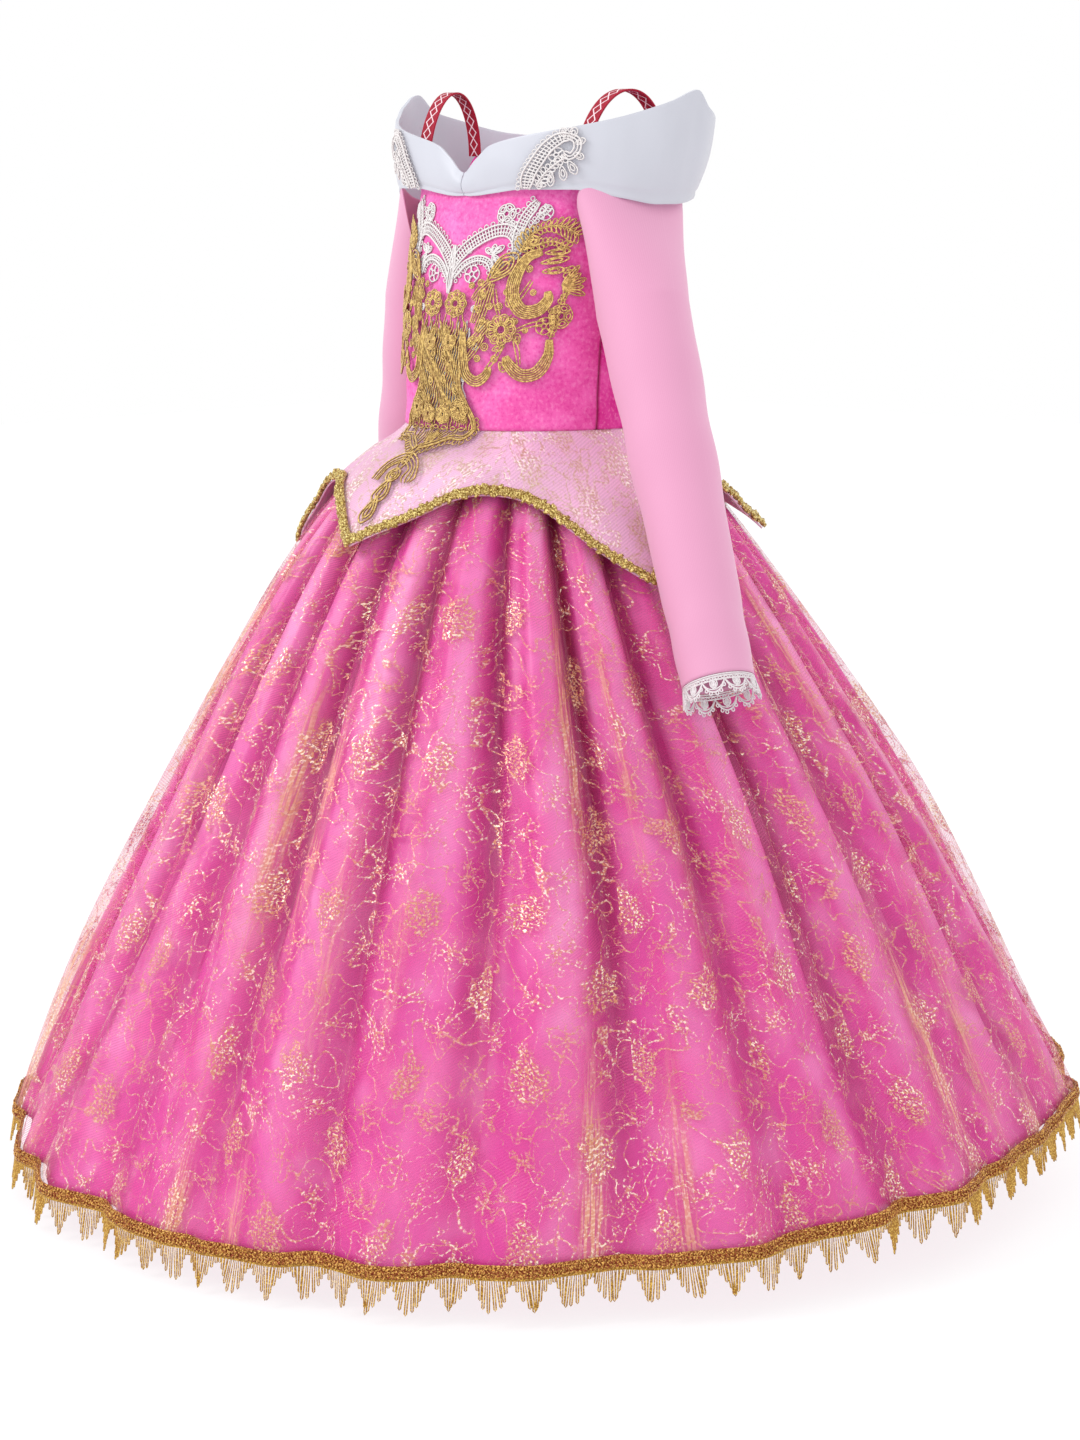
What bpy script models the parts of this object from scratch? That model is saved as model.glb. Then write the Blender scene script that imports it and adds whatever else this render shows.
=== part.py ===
# Child's princess costume dress, worn shape with nobody in it.
# Metres, +Z up. The wearer faces -Y and their left side is +X.
# The origin is midway between the tops of the two shoulder straps, where the wearer's shoulders hold it.
# Angles round the body, in degrees: 0 is the centre front, 90 the wearer's left, 180 the centre back.

import math

import bmesh
import bpy
from mathutils import Vector

# Cloth walls and the gaps between pieces
VELVET_WALL = 0.0015
SATIN_WALL = 0.0012
LACE_WALL = 0.0010
PEPLUM_WALL = 0.0014
COLLAR_WALL = 0.0024
BRAID_WALL = 0.0018
SEAM_GAP = 0.0003
LAYER_GAP = 0.0010

# Bodice sections, from the neck down to the waist
BODICE_COLUMNS = ("z", "half_width", "front", "back")
BODICE_SECTIONS = (
    (-0.030, 0.0990, -0.0660, 0.0760),
    (-0.070, 0.0990, -0.0730, 0.0770),
    (-0.105, 0.0970, -0.0820, 0.0780),
    (-0.140, 0.0950, -0.0900, 0.0780),
    (-0.185, 0.0915, -0.0970, 0.0780),
    (-0.236, 0.0900, -0.1005, 0.0795),
)
WAIST_Z = -0.236
SIDE_SEAM = 77.0
BODICE_ROWS = 7

# Top edge of the bodice: straight across the front, cut away under the arm, higher at the back
NECK_COLUMNS = ("angle", "z")
NECK_EDGE = (
    (0.0, -0.0640),
    (40.0, -0.0620),
    (54.0, -0.0580),
    (60.0, -0.0680),
    (70.0, -0.1130),
    (82.0, -0.1350),
    (94.0, -0.1130),
    (102.0, -0.0620),
    (108.0, -0.0460),
    (130.0, -0.0390),
    (180.0, -0.0380),
)

# Satin collar that stands round the upper arms: its lower and upper edges
COLLAR_COLUMNS = ("angle", "low_z", "top_z", "low_side", "top_side")
COLLAR_EDGES = (
    (0.0, -0.0740, -0.0570, 0.0, 0.0),
    (6.0, -0.0735, -0.0475, 0.0, 0.0),
    (12.0, -0.0720, -0.0385, 0.0, 0.1),
    (25.0, -0.0690, -0.0320, 0.0, 0.2),
    (43.0, -0.0690, -0.0260, 0.0, 0.2),
    (64.0, -0.0750, -0.0180, 0.0, 0.25),
    (80.0, -0.0790, -0.0090, 0.0, 0.7),
    (92.0, -0.0790, -0.0010, 0.0, 1.0),
    (101.0, -0.0780, -0.0130, 0.0, 1.0),
    (112.0, -0.0760, -0.0190, 0.0, 0.9),
    (134.0, -0.0740, -0.0290, 0.0, 0.6),
    (158.0, -0.0730, -0.0320, 0.0, 0.3),
    (180.0, -0.0730, -0.0330, 0.0, 0.2),
)
COLLAR_LOW = {"half_width": 0.1265, "front": -0.0768, "back": 0.0850}
COLLAR_FLARED = {"half_width": 0.1430, "front": -0.0850, "back": 0.1020}
COLLAR_ROWS = 4
COLLAR_BULGE = 0.0025

# Sleeves: a slanted head in the armhole, then round rings down to the cuff
SLEEVE_HEAD_OUTER = (0.1175, 0.0010, -0.0790)
SLEEVE_HEAD_INNER = (0.0974, -0.0040, -0.1360)
SLEEVE_HEAD_DEPTH = 0.0370
SLEEVE_HEAD_RISE = 0.0240
SLEEVE_HEAD_DRAW = 0.0050
SLEEVE_HEAD_FRONT_DEPTH = 0.0500
SLEEVE_HEAD_FRONT_DRAW = 0.0180
SLEEVE_AXIS_TOP = (0.0930, -0.0140, -0.0740)
CUFF_CENTRE = {"left": (0.2440, -0.0750, -0.3940), "right": (-0.2380, 0.0820, -0.3920)}
SLEEVE_COLUMNS = ("along", "radius")
SLEEVE_RINGS = (
    (0.24, 0.0315),
    (0.36, 0.0305),
    (0.52, 0.0292),
    (0.70, 0.0272),
    (0.86, 0.0256),
    (1.00, 0.0240),
)
SLEEVE_SIDES = 12
CUFF_LACE_LENGTH = 0.0150
CUFF_SCALLOP = 0.0040
CUFF_SCALLOPS = 10
CUFF_FLARE = 0.0012

# Straps over the shoulders
STRAP_WIDTH = 0.0120
STRAP_WALL = 0.0014
STRAP_STEPS = 12
STRAP_FRONT_ANGLE = 54.0
STRAP_BACK_ANGLE = 108.0

# Skirt rows, from the waist down to the hem
SKIRT_COLUMNS = ("z", "ridge", "pleat_depth", "centre_y", "lace_lift")
SKIRT_ROWS = (
    (-0.2368, 0.0842, 0.0050, -0.0105, 0.0000),
    (-0.2680, 0.1200, 0.0115, -0.0130, 0.0000),
    (-0.3180, 0.1610, 0.0180, -0.0150, 0.0005),
    (-0.4000, 0.2150, 0.0200, -0.0110, 0.0015),
    (-0.5200, 0.2840, 0.0185, -0.0020, 0.0035),
    (-0.7330, 0.3900, 0.0075, 0.0010, 0.0010),
)
# The hem is higher at the back than at the front: its rise per metre towards the back
HEM_TILT = 0.0590
PLEATS = 24
# How deep the cloth lies at equal steps across one pleat, from its ridge
PLEAT_SHAPE = (0.0, 0.12, 1.0, 0.55)
PLEAT_DRIFT = 1.3

# Peplum: five hanging points, one of them at the centre front
PEPLUM_POINTS = 5
PEPLUM_COLUMNS = 50
PEPLUM_ROWS = 3
PEPLUM_KNEE_Z = -0.2530
PEPLUM_PEAK_Z = -0.2760
PEPLUM_POINT_Z = {"front": -0.3160, "side": -0.3380, "back": -0.3200}
PEPLUM_LOWEST_Z = -0.3380
PEPLUM_CLEARANCE = 0.0042
PEPLUM_LIFT = {"front": 0.0110, "back": 0.0130}
PEPLUM_BRAID_HEIGHT = 0.0080

# Hem braid with its fringe of hanging points
HEM_BRAID_ABOVE = 0.0055
HEM_BRAID_BELOW = 0.0025
HEM_BRAID_GAP = 0.0012
FRINGE_LENGTH = 0.0250
FRINGE_SPREAD = 0.0060
FRINGE_ROOT_INSET = 0.0006

# Guipure lace: mapped by millimetres round the body from the centre front, and by height
LACE_RADIUS = 0.0940
LACE_GAP = 0.0008
LACE_STEP = 0.00003
LACE_STEPS = 9
GOLD_LIFT = 0.0026
COLLAR_LACE_HEIGHT = 0.0430
LACE_LONGEST_EDGE = 0.0150
FLOWER_HOLE = 0.32
GOLD_CORD = (0.0022, 0.0014)
WHITE_CORD = (0.0016, 0.0011)


def clear_scene():
    for obj in list(bpy.data.objects):
        bpy.data.objects.remove(obj, do_unlink=True)


def new_collection(name):
    collection = bpy.data.collections.new(name)
    bpy.context.scene.collection.children.link(collection)
    return collection


def new_material(name, colour, roughness, metallic=0.0):
    material = bpy.data.materials.new(name)
    material.use_nodes = True
    shader = material.node_tree.nodes["Principled BSDF"]
    shader.inputs["Base Color"].default_value = (*colour, 1.0)
    shader.inputs["Roughness"].default_value = roughness
    shader.inputs["Metallic"].default_value = metallic
    material.diffuse_color = (*colour, 1.0)
    return material


def value_at(columns, rows, name, at):
    # Smooth value of one column of a table, where the first column runs one way.
    column = columns.index(name)
    keys = [row[0] for row in rows]
    values = [row[column] for row in rows]
    if keys[0] > keys[-1]:
        keys.reverse()
        values.reverse()
    at = min(max(at, keys[0]), keys[-1])
    i = max(k for k in range(len(keys) - 1) if keys[k] <= at)

    def slope(k):
        if k == 0 or k == len(keys) - 1:
            return 0.0 if k == 0 and keys[0] == 0.0 else secant(min(k, len(keys) - 2))
        before, after = secant(k - 1), secant(k)
        if before * after <= 0.0:
            return 0.0
        return 2.0 * before * after / (before + after)

    def secant(k):
        return (values[k + 1] - values[k]) / (keys[k + 1] - keys[k])

    span = keys[i + 1] - keys[i]
    t = (at - keys[i]) / span
    return (
        values[i] * (1 + 2 * t) * (1 - t) ** 2
        + slope(i) * span * t * (1 - t) ** 2
        + values[i + 1] * t * t * (3 - 2 * t)
        - slope(i + 1) * span * t * t * (1 - t)
    )


def folded(degrees):
    # The same angle on either side of the body, from 0 at the front to 180 at the back.
    return abs((degrees + 180.0) % 360.0 - 180.0)


def oval_point(degrees, half_width, front, back, z):
    angle = math.radians(degrees)
    centre, depth = (front + back) / 2, (back - front) / 2
    return Vector((half_width * math.sin(angle), centre - depth * math.cos(angle), z))


def bodice_point(degrees, z):
    sizes = [value_at(BODICE_COLUMNS, BODICE_SECTIONS, c, z) for c in BODICE_COLUMNS[1:]]
    return oval_point(degrees, *sizes, z)


def skirt_value(name, z):
    return value_at(SKIRT_COLUMNS, SKIRT_ROWS, name, z)


def peplum_point(degrees, z):
    # Lies just clear of the skirt, and stands off it more towards the points.
    share = min(max((WAIST_Z - z) / (WAIST_Z - PEPLUM_LOWEST_Z), 0.0), 1.0)
    clear = PEPLUM_CLEARANCE + LAYER_GAP + LACE_WALL + PEPLUM_WALL
    lift = PEPLUM_LIFT["front"] + (PEPLUM_LIFT["back"] - PEPLUM_LIFT["front"]) * folded(degrees) / 180
    leaves = min(max((WAIST_Z - z) / (WAIST_Z - PEPLUM_KNEE_Z), 0.0), 1.0)
    radius = skirt_value("ridge", z) + clear * leaves + lift * share**2
    waist = bodice_point(degrees, WAIST_Z)
    centre_y = skirt_value("centre_y", z)
    angle = math.radians(degrees)
    flared = Vector((radius * math.sin(angle), centre_y - radius * math.cos(angle), z))
    flare = skirt_value("ridge", z) - skirt_value("ridge", WAIST_Z)
    snug = Vector((waist.x + flare * math.sin(angle), waist.y - flare * math.cos(angle), z))
    return snug.lerp(flared, leaves)


def front_point(degrees, z):
    # Outer surface of the dress at the front: bodice above the waist, peplum below it.
    return bodice_point(degrees, z) if z >= WAIST_Z else peplum_point(degrees, z)


def collar_point(degrees, share):
    # From the lower edge at 0 to the top edge at 1.
    at = folded(degrees)
    low_z, top_z, _, flare = [value_at(COLLAR_COLUMNS, COLLAR_EDGES, c, at) for c in COLLAR_COLUMNS[1:]]
    z = low_z + (top_z - low_z) * share
    low = oval_point(degrees, *COLLAR_LOW.values(), z)
    flared = oval_point(degrees, *COLLAR_FLARED.values(), z)
    point = low.lerp(flared, flare * share)
    outward = Vector((low.x, low.y, 0)).normalized()
    return point + outward * COLLAR_BULGE * math.sin(math.pi * share)


def grid_mesh(name, rows, closed):
    # Rows run down the cloth and columns anticlockwise from above, so the faces point outwards.
    mesh = bpy.data.meshes.new(name)
    across = len(rows[0])
    points = [point for row in rows for point in row]
    faces = []
    for i in range(len(rows) - 1):
        for j in range(across if closed else across - 1):
            right = (j + 1) % across
            faces.append((i * across + j, (i + 1) * across + j, (i + 1) * across + right, i * across + right))
    mesh.from_pydata(points, [], faces)
    mesh.update()
    return mesh


def cloth(collection, name, rows, wall, material, closed=False, outside=False):
    # An open surface given its wall by Solidify, inwards unless it lies on another piece.
    mesh = grid_mesh(name, rows, closed)
    mesh.materials.append(material)
    obj = bpy.data.objects.new(name, mesh)
    collection.objects.link(obj)
    solid = obj.modifiers.new("wall", "SOLIDIFY")
    solid.thickness = wall
    solid.offset = 1.0 if outside else -1.0
    solid.use_even_offset = True
    mesh.shade_smooth()
    return obj


def moved_out(rows, distance, closed):
    # The same grid of points, moved along the surface's own normals.
    mesh = grid_mesh("moved_out", rows, closed)
    across = len(rows[0])
    normals = [vertex.normal.copy() for vertex in mesh.vertices]
    bpy.data.meshes.remove(mesh)
    return [
        [point + normals[i * across + j] * distance for j, point in enumerate(row)]
        for i, row in enumerate(rows)
    ]


def steps(start, end, count):
    return [start + (end - start) * i / (count - 1) for i in range(count)]


def make_bodice(collection, velvet):
    seam = math.degrees(SEAM_GAP / 2 / BODICE_SECTIONS[-1][1])
    panels = {
        "bodice_front": steps(-SIDE_SEAM + seam, SIDE_SEAM - seam, 25),
        "bodice_back_left": steps(SIDE_SEAM + seam, 180.0 - seam, 14),
        "bodice_back_right": steps(180.0 + seam, 360.0 - SIDE_SEAM - seam, 14),
    }
    for name, angles in panels.items():
        tops = [value_at(NECK_COLUMNS, NECK_EDGE, "z", folded(a)) for a in angles]
        rows = [
            [bodice_point(a, top + (WAIST_Z - top) * share) for a, top in zip(angles, tops)]
            for share in steps(0.0, 1.0, BODICE_ROWS)
        ]
        cloth(collection, name, rows, VELVET_WALL, velvet)


def make_collar(collection, satin):
    seam = math.degrees(SEAM_GAP / 2 / abs(COLLAR_LOW["front"]))
    edges = [row[0] for row in COLLAR_EDGES]
    inner = [(a + b) / 2 for a, b in zip(edges[2:], edges[3:])]
    angles = sorted(edges[1:-1] + inner + [seam, 180.0 - seam])
    for name, side in (("collar_left", 1), ("collar_right", -1)):
        around = [side * a for a in angles][::side]
        rows = [[collar_point(a, share) for a in around] for share in steps(1.0, 0.0, COLLAR_ROWS)]
        cloth(collection, name, rows, COLLAR_WALL, satin)


def sleeve_frame(side):
    mirror = 1 if side == "left" else -1
    top = Vector(SLEEVE_AXIS_TOP)
    top.x *= mirror
    cuff = Vector(CUFF_CENTRE[side])
    down = (cuff - top).normalized()
    back = Vector((0, 1, 0))
    out = back.cross(down).normalized() * -1
    return top, cuff, out, down.cross(out).normalized(), down


def sleeve_ring(side, along, radius, count, beyond=0.0):
    top, cuff, out, across, down = sleeve_frame(side)
    centre = top.lerp(cuff, along) + down * beyond
    turn = [2 * math.pi * i / count for i in range(count)]
    return [centre + (out * math.cos(a) + across * math.sin(a)) * radius for a in turn]


def sleeve_head(side):
    mirror = 1 if side == "left" else -1
    outer, inner = Vector(SLEEVE_HEAD_OUTER), Vector(SLEEVE_HEAD_INNER)
    centre, half = (outer + inner) / 2, (outer - inner) / 2
    _, _, out, across, _ = sleeve_frame(side)
    ring = []
    for i in range(SLEEVE_SIDES):
        turn = 2 * math.pi * i / SLEEVE_SIDES
        outwards = math.cos(turn) * (1 if out.x * mirror > 0 else -1)
        rearwards = math.sin(turn) * (1 if across.y > 0 else -1)
        point = centre + half * outwards
        in_front = rearwards < 0
        point.y += (SLEEVE_HEAD_FRONT_DEPTH if in_front else SLEEVE_HEAD_DEPTH) * rearwards
        point.x -= (SLEEVE_HEAD_FRONT_DRAW if in_front else SLEEVE_HEAD_DRAW) * rearwards**2
        point.z += SLEEVE_HEAD_RISE * rearwards**2
        ring.append(Vector((point.x * mirror, point.y, point.z)))
    return ring


def make_sleeve(collection, side, mesh_cloth, cuff_lace):
    rows = [sleeve_head(side)]
    rows += [sleeve_ring(side, along, radius, SLEEVE_SIDES) for along, radius in SLEEVE_RINGS]
    cloth(collection, "sleeve_" + side, rows, LACE_WALL, mesh_cloth, closed=True)
    radius = SLEEVE_RINGS[-1][1]
    count = CUFF_SCALLOPS * 2
    upper = sleeve_ring(side, 1.0, radius, count, SEAM_GAP)
    middle = sleeve_ring(side, 1.0, radius + CUFF_FLARE, count, CUFF_LACE_LENGTH / 2)
    lower = sleeve_ring(side, 1.0, radius + 2 * CUFF_FLARE, count, CUFF_LACE_LENGTH)
    down = sleeve_frame(side)[4]
    lower = [point - down * CUFF_SCALLOP * (i % 2) for i, point in enumerate(lower)]
    cloth(collection, "cuff_lace_" + side, [upper, middle, lower], LACE_WALL, cuff_lace, closed=True)


def make_strap(collection, side, braid):
    # An arch from the front neck edge to the back one, its top at the origin's height.
    ends = []
    for angle in (STRAP_FRONT_ANGLE, STRAP_BACK_ANGLE):
        z = value_at(NECK_COLUMNS, NECK_EDGE, "z", angle)
        ends.append(bodice_point(angle, z) + Vector((0, 0, SEAM_GAP)))
    front, back = ends
    height = -(front.z + back.z) / 2
    wide = Vector((STRAP_WIDTH / 2, 0, 0))
    rows = []
    for turn in steps(0.0, math.pi, STRAP_STEPS + 1):
        point = front.lerp(back, (1 - math.cos(turn)) / 2) + Vector((0, 0, height * math.sin(turn)))
        rows.append([point - wide, point + wide])
    mirror = 1 if side == "left" else -1
    rows = [[Vector((p.x * mirror, p.y, p.z)) for p in row[::mirror]] for row in rows[::-1]]
    cloth(collection, "strap_" + side, rows, STRAP_WALL, braid)


def skirt_grid():
    count = PLEATS * len(PLEAT_SHAPE)
    rows = []
    for z, ridge, depth, centre_y, _ in SKIRT_ROWS:
        row = []
        for i in range(count):
            pleat, step = divmod(i, len(PLEAT_SHAPE))
            uneven = 1 + 0.28 * math.sin(2.3 * pleat + 0.7) + 0.12 * math.sin(5.1 * pleat)
            base = 360.0 * i / count
            angle = math.radians(base + PLEAT_DRIFT * math.sin(math.radians(5 * base) + z * 6))
            radius = ridge - depth * uneven * PLEAT_SHAPE[step]
            behind = -radius * math.cos(angle)
            tilt = HEM_TILT * ((WAIST_Z - z) / (WAIST_Z - SKIRT_ROWS[-1][0])) ** 2
            row.append(Vector((radius * math.sin(angle), centre_y + behind, z + behind * tilt)))
        rows.append(row)
    return rows


def make_skirt(collection, satin, lace):
    rows = skirt_grid()
    cloth(collection, "skirt_satin", rows, SATIN_WALL, satin, closed=True)
    over = moved_out(rows, LAYER_GAP, closed=True)
    for row, under, (_, _, _, centre_y, lift) in zip(over, rows, SKIRT_ROWS):
        for i, point in enumerate(row):
            if i % len(PLEAT_SHAPE) == 0:
                outward = Vector((point.x, point.y - centre_y, 0)).normalized()
                point += outward * lift * (1 + math.sin(1.7 * i))
            if row in (over[0], over[-1]):
                point.z = under[i].z
    cloth(collection, "skirt_lace", over, LACE_WALL, lace, closed=True, outside=True)
    return over[-2:]


def peplum_edge_z(degrees):
    # Rounded arches between sharp points.
    spacing = 360.0 / PEPLUM_POINTS
    from_point = abs((degrees + spacing / 2) % spacing - spacing / 2) / (spacing / 2)
    hang = 1 - math.sin(math.pi / 2 * from_point)
    nearest = round(folded(degrees) / spacing)
    point_z = list(PEPLUM_POINT_Z.values())[nearest]
    return PEPLUM_PEAK_Z + (point_z - PEPLUM_PEAK_Z) * hang


def make_peplum(collection, satin, braid):
    angles = [360.0 * i / PEPLUM_COLUMNS for i in range(PEPLUM_COLUMNS)]
    top = WAIST_Z - SEAM_GAP
    rows = [[peplum_point(a, z) for a in angles] for z in (top, (top + PEPLUM_KNEE_Z) / 2)]
    rows += [
        [peplum_point(a, PEPLUM_KNEE_Z + (peplum_edge_z(a) - PEPLUM_KNEE_Z) * share) for a in angles]
        for share in steps(0.0, 1.0, PEPLUM_ROWS)
    ]
    cloth(collection, "peplum", rows, PEPLUM_WALL, satin, closed=True)
    band = [
        [peplum_point(a, peplum_edge_z(a) + rise) for a in angles]
        for rise in (PEPLUM_BRAID_HEIGHT, 0.0005)
    ]
    lying = moved_out(band, LAYER_GAP, closed=True)
    cloth(collection, "peplum_braid", lying, BRAID_WALL, braid, closed=True, outside=True)


def make_hem_braid(collection, hem, braid):
    # A narrow strip outside the lace's hem, with a row of hanging points drawn from its lower edge.
    centre = Vector((0, SKIRT_ROWS[-1][3], 0))
    rows = []
    for rise in (HEM_BRAID_ABOVE, -HEM_BRAID_BELOW):
        row = []
        for above, below in zip(*hem):
            point = below + (above - below).normalized() * rise
            outward = point - centre
            outward.z = 0
            row.append(point + outward.normalized() * (LACE_WALL + HEM_BRAID_GAP))
        rows.append(row)
    obj = cloth(collection, "hem_braid", rows, BRAID_WALL, braid, closed=True, outside=True)
    mesh = evaluated_mesh(obj)
    shape = bmesh.new()
    shape.from_mesh(mesh)
    under = [f for f in shape.faces if f.normal.z < -0.7]
    bmesh.ops.inset_individual(shape, faces=under, thickness=FRINGE_ROOT_INSET)
    hanging = bmesh.ops.extrude_discrete_faces(shape, faces=under)["faces"]
    for face in hanging:
        middle = face.calc_center_median()
        outward = (Vector((middle.x, middle.y, 0)) - centre).normalized()
        tip = middle + outward * FRINGE_SPREAD + Vector((0, 0, -FRINGE_LENGTH))
        bmesh.ops.pointmerge(shape, verts=list(face.verts), merge_co=tip)
    shape.to_mesh(mesh)
    shape.free()
    replace_mesh(obj, mesh)


def evaluated_mesh(obj):
    graph = bpy.context.evaluated_depsgraph_get()
    return bpy.data.meshes.new_from_object(obj.evaluated_get(graph))


def replace_mesh(obj, mesh):
    obj.modifiers.clear()
    obj.data = mesh
    mesh.shade_smooth()
    mesh.set_sharp_from_angle(angle=math.radians(40))


# Guipure lace outlines. Each is a list of loops in millimetres: the outline first, then its holes.


def ribbon(centre, radius, start, end, width, taper=0.5):
    # A crescent of cord work: a band along an arc, narrower at its ends.
    count = max(5, round(abs(end - start) / 26))
    outer, inner = [], []
    for angle in steps(start, end, count):
        share = (angle - start) / (end - start)
        half = width / 2 * (taper + (1 - taper) * math.sin(math.pi * share))
        turn = math.radians(angle)
        for side, reach in ((outer, radius + half), (inner, radius - half)):
            side.append((centre[0] + reach * math.cos(turn), centre[1] + reach * math.sin(turn)))
    return [outer + inner[::-1]]


def flower(centre, radius, petals):
    outline = []
    for i in range(petals * 2):
        reach = radius * (0.66, 1.0)[i % 2]
        turn = math.pi * i / petals
        outline.append((centre[0] + reach * math.cos(turn), centre[1] + reach * math.sin(turn)))
    return [outline, disc(centre, radius * FLOWER_HOLE, 6)]


def disc(centre, radius, sides):
    turns = [2 * math.pi * i / sides for i in range(sides)]
    return [(centre[0] + radius * math.cos(t), centre[1] + radius * math.sin(t)) for t in turns]


def leaf(root, tip, width, hole=False):
    along = Vector((tip[0] - root[0], tip[1] - root[1]))
    across = Vector((-along.y, along.x)).normalized()
    shares = ((0.0, 0.15), (0.25, 0.8), (0.5, 1.0), (0.75, 0.7), (1.0, 0.06))
    loops = []
    for scale in (1.0, 0.42) if hole else (1.0,):
        left, right = [], []
        for share, wide in shares:
            middle = Vector(root) + along * (0.5 + (share - 0.5) * scale)
            half = across * width / 2 * wide * scale
            left.append(tuple(middle + half))
            right.append(tuple(middle - half))
        loops.append(left + right[::-1])
    return loops


def sprig(root, radius, start, end, fingers):
    # Looped fingers that spread from one root.
    outline = [root]
    for i, angle in enumerate(steps(start, end, fingers * 2 + 1)):
        reach = radius * (1.0 if i % 2 else 0.76)
        turn = math.radians(angle)
        outline.append((root[0] + reach * math.cos(turn), root[1] + reach * math.sin(turn)))
    return [outline]


def bar(start, end, width):
    along = Vector((end[0] - start[0], end[1] - start[1])).normalized()
    side = Vector((-along.y, along.x)) * width / 2
    first, last = Vector(start), Vector(end)
    return [[tuple(first + side), tuple(last + side), tuple(last - side), tuple(first - side)]]


def fan(top_half, low_half, top_z, low_z, tip_z):
    # Shell at the waist with a row of round openings.
    outline = [(-top_half, top_z), (-low_half, low_z + 6), (-low_half * 0.86, low_z - 4), (-9, low_z - 10)]
    outline += [(-3, tip_z), (3, tip_z), (9, low_z - 10), (low_half * 0.86, low_z - 4), (low_half, low_z + 6)]
    outline += [(top_half, top_z)]
    holes = [disc((x, low_z + 3.5 - abs(x) * 0.05), 3.0, 6) for x in (-24, -12, 0, 12, 24)]
    return [outline, *holes]


def mirrored(loops):
    return [[(-x, y) for x, y in loop][::-1] for loop in loops]


def lace_solid(collection, cutters, name, pieces, surface, material):
    # Each piece is a filled flat outline; they are joined into one, then laid on the dress.
    solids = []
    for number, (loops, height) in enumerate(pieces):
        curve = bpy.data.curves.new(f"{name}_{number}", "CURVE")
        curve.dimensions = "2D"
        curve.fill_mode = "BOTH"
        curve.extrude = height / 2
        for loop in loops:
            spline = curve.splines.new("POLY")
            spline.points.add(len(loop) - 1)
            for point, (x, y) in zip(spline.points, loop):
                point.co = (x / 1000, y / 1000, 0, 1)
            spline.use_cyclic_u = True
        flat = bpy.data.objects.new(curve.name, curve)
        cutters.objects.link(flat)
        mesh = evaluated_mesh(flat)
        shape = bmesh.new()
        shape.from_mesh(mesh)
        bmesh.ops.remove_doubles(shape, verts=shape.verts, dist=0.00001)
        # A different underside for each keeps joined faces from lying in one plane.
        up = height / 2 + LACE_STEP * (number % LACE_STEPS)
        bmesh.ops.translate(shape, verts=shape.verts, vec=(0, 0, up))
        bmesh.ops.recalc_face_normals(shape, faces=shape.faces)
        shape.to_mesh(mesh)
        shape.free()
        bpy.data.objects.remove(flat)
        solids.append(mesh)
    joined = bpy.data.objects.new(name, solids[0])
    collection.objects.link(joined)
    others = new_collection(name + "_joined")
    for mesh in solids[1:]:
        extra = bpy.data.objects.new(mesh.name, mesh)
        extra.hide_render = True
        extra.display_type = "WIRE"
        others.objects.link(extra)
    union = joined.modifiers.new("join", "BOOLEAN")
    union.operation = "UNION"
    union.operand_type = "COLLECTION"
    union.collection = others
    mesh = evaluated_mesh(joined)
    for extra in list(others.objects):
        bpy.data.objects.remove(extra)
    bpy.data.collections.remove(others)
    lay_on(mesh, surface)
    mesh.materials.clear()
    mesh.materials.append(material)
    replace_mesh(joined, mesh)
    return joined


def lay_on(mesh, surface):
    # Flat millimetre map to the cloth's surface, with the third coordinate as height above it.
    shape = bmesh.new()
    shape.from_mesh(mesh)
    for _ in range(3):
        long_edges = [e for e in shape.edges if e.calc_length() > LACE_LONGEST_EDGE]
        if not long_edges:
            break
        bmesh.ops.subdivide_edges(shape, edges=long_edges, cuts=1)
        bmesh.ops.triangulate(shape, faces=shape.faces)
    small = 0.0005
    for vertex in shape.verts:
        x, z, height = vertex.co
        degrees = math.degrees(x / LACE_RADIUS)
        point = surface(degrees, z)
        turn = surface(degrees + 0.3, z) - surface(degrees - 0.3, z)
        fall = surface(degrees, z - small) - surface(degrees, z + small)
        normal = fall.cross(turn).normalized()
        vertex.co = point + normal * (LACE_GAP + height)
    shape.to_mesh(mesh)
    shape.free()


def both_sides(loops, height):
    return [(loops, height), (mirrored(loops), height)]


def gold_pieces():
    thick, thin = GOLD_CORD
    pieces = [(fan(13, 34, -202, -236, -252), thick)]
    for loops, height in (
        (flower((11, -141), 9.5, 8), thick),
        (flower((50, -163), 9.5, 8), thick),
        (ribbon((64, -133), 17, 100, 345, 8), thick),
        (ribbon((68, -178), 17, 195, 352, 8), thick),
        (ribbon((34, -190), 12, 150, 330, 6.5), thick),
        (leaf((41, -136), (52, -107), 13, True), thick),
        (sprig((80, -112), 21, 5, 105, 5), thin),
        (sprig((90, -136), 19, -35, 50, 4), thin),
        (flower((89, -157), 8, 5), thin),
        (bar((10, -147), (49, -139), 5), thin),
        (bar((60, -116), (83, -110), 5), thin),
        (bar((78, -138), (93, -135), 5), thin),
        (bar((87, -135), (89, -153), 4), thin),
        (bar((57, -148), (52, -159), 4), thin),
        (bar((50, -167), (53, -182), 4), thin),
        (bar((89, -161), (84, -181), 4), thin),
        (bar((42, -138), (44, -195), 5), thin),
        (bar((10, -145), (13, -208), 7), thin),
        (bar((27, -141), (21, -188), 4.5), thin),
        (bar((21, -186), (11, -208), 5), thin),
        (bar((23, -187), (43, -184), 4), thin),
    ):
        pieces += both_sides(loops, height)
    pieces.append((bar((-14, -146), (14, -146), 5), thin))
    pieces.append((bar((0, -144), (0, -208), 6), thin))
    pieces.append((ribbon((0, -266), 9, 10, 170, 6), thick))
    pieces.append((bar((0, -249), (0, -263), 5), thin))
    pieces.append((leaf((0, -261), (0, -300), 8), thick))
    return pieces


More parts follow.
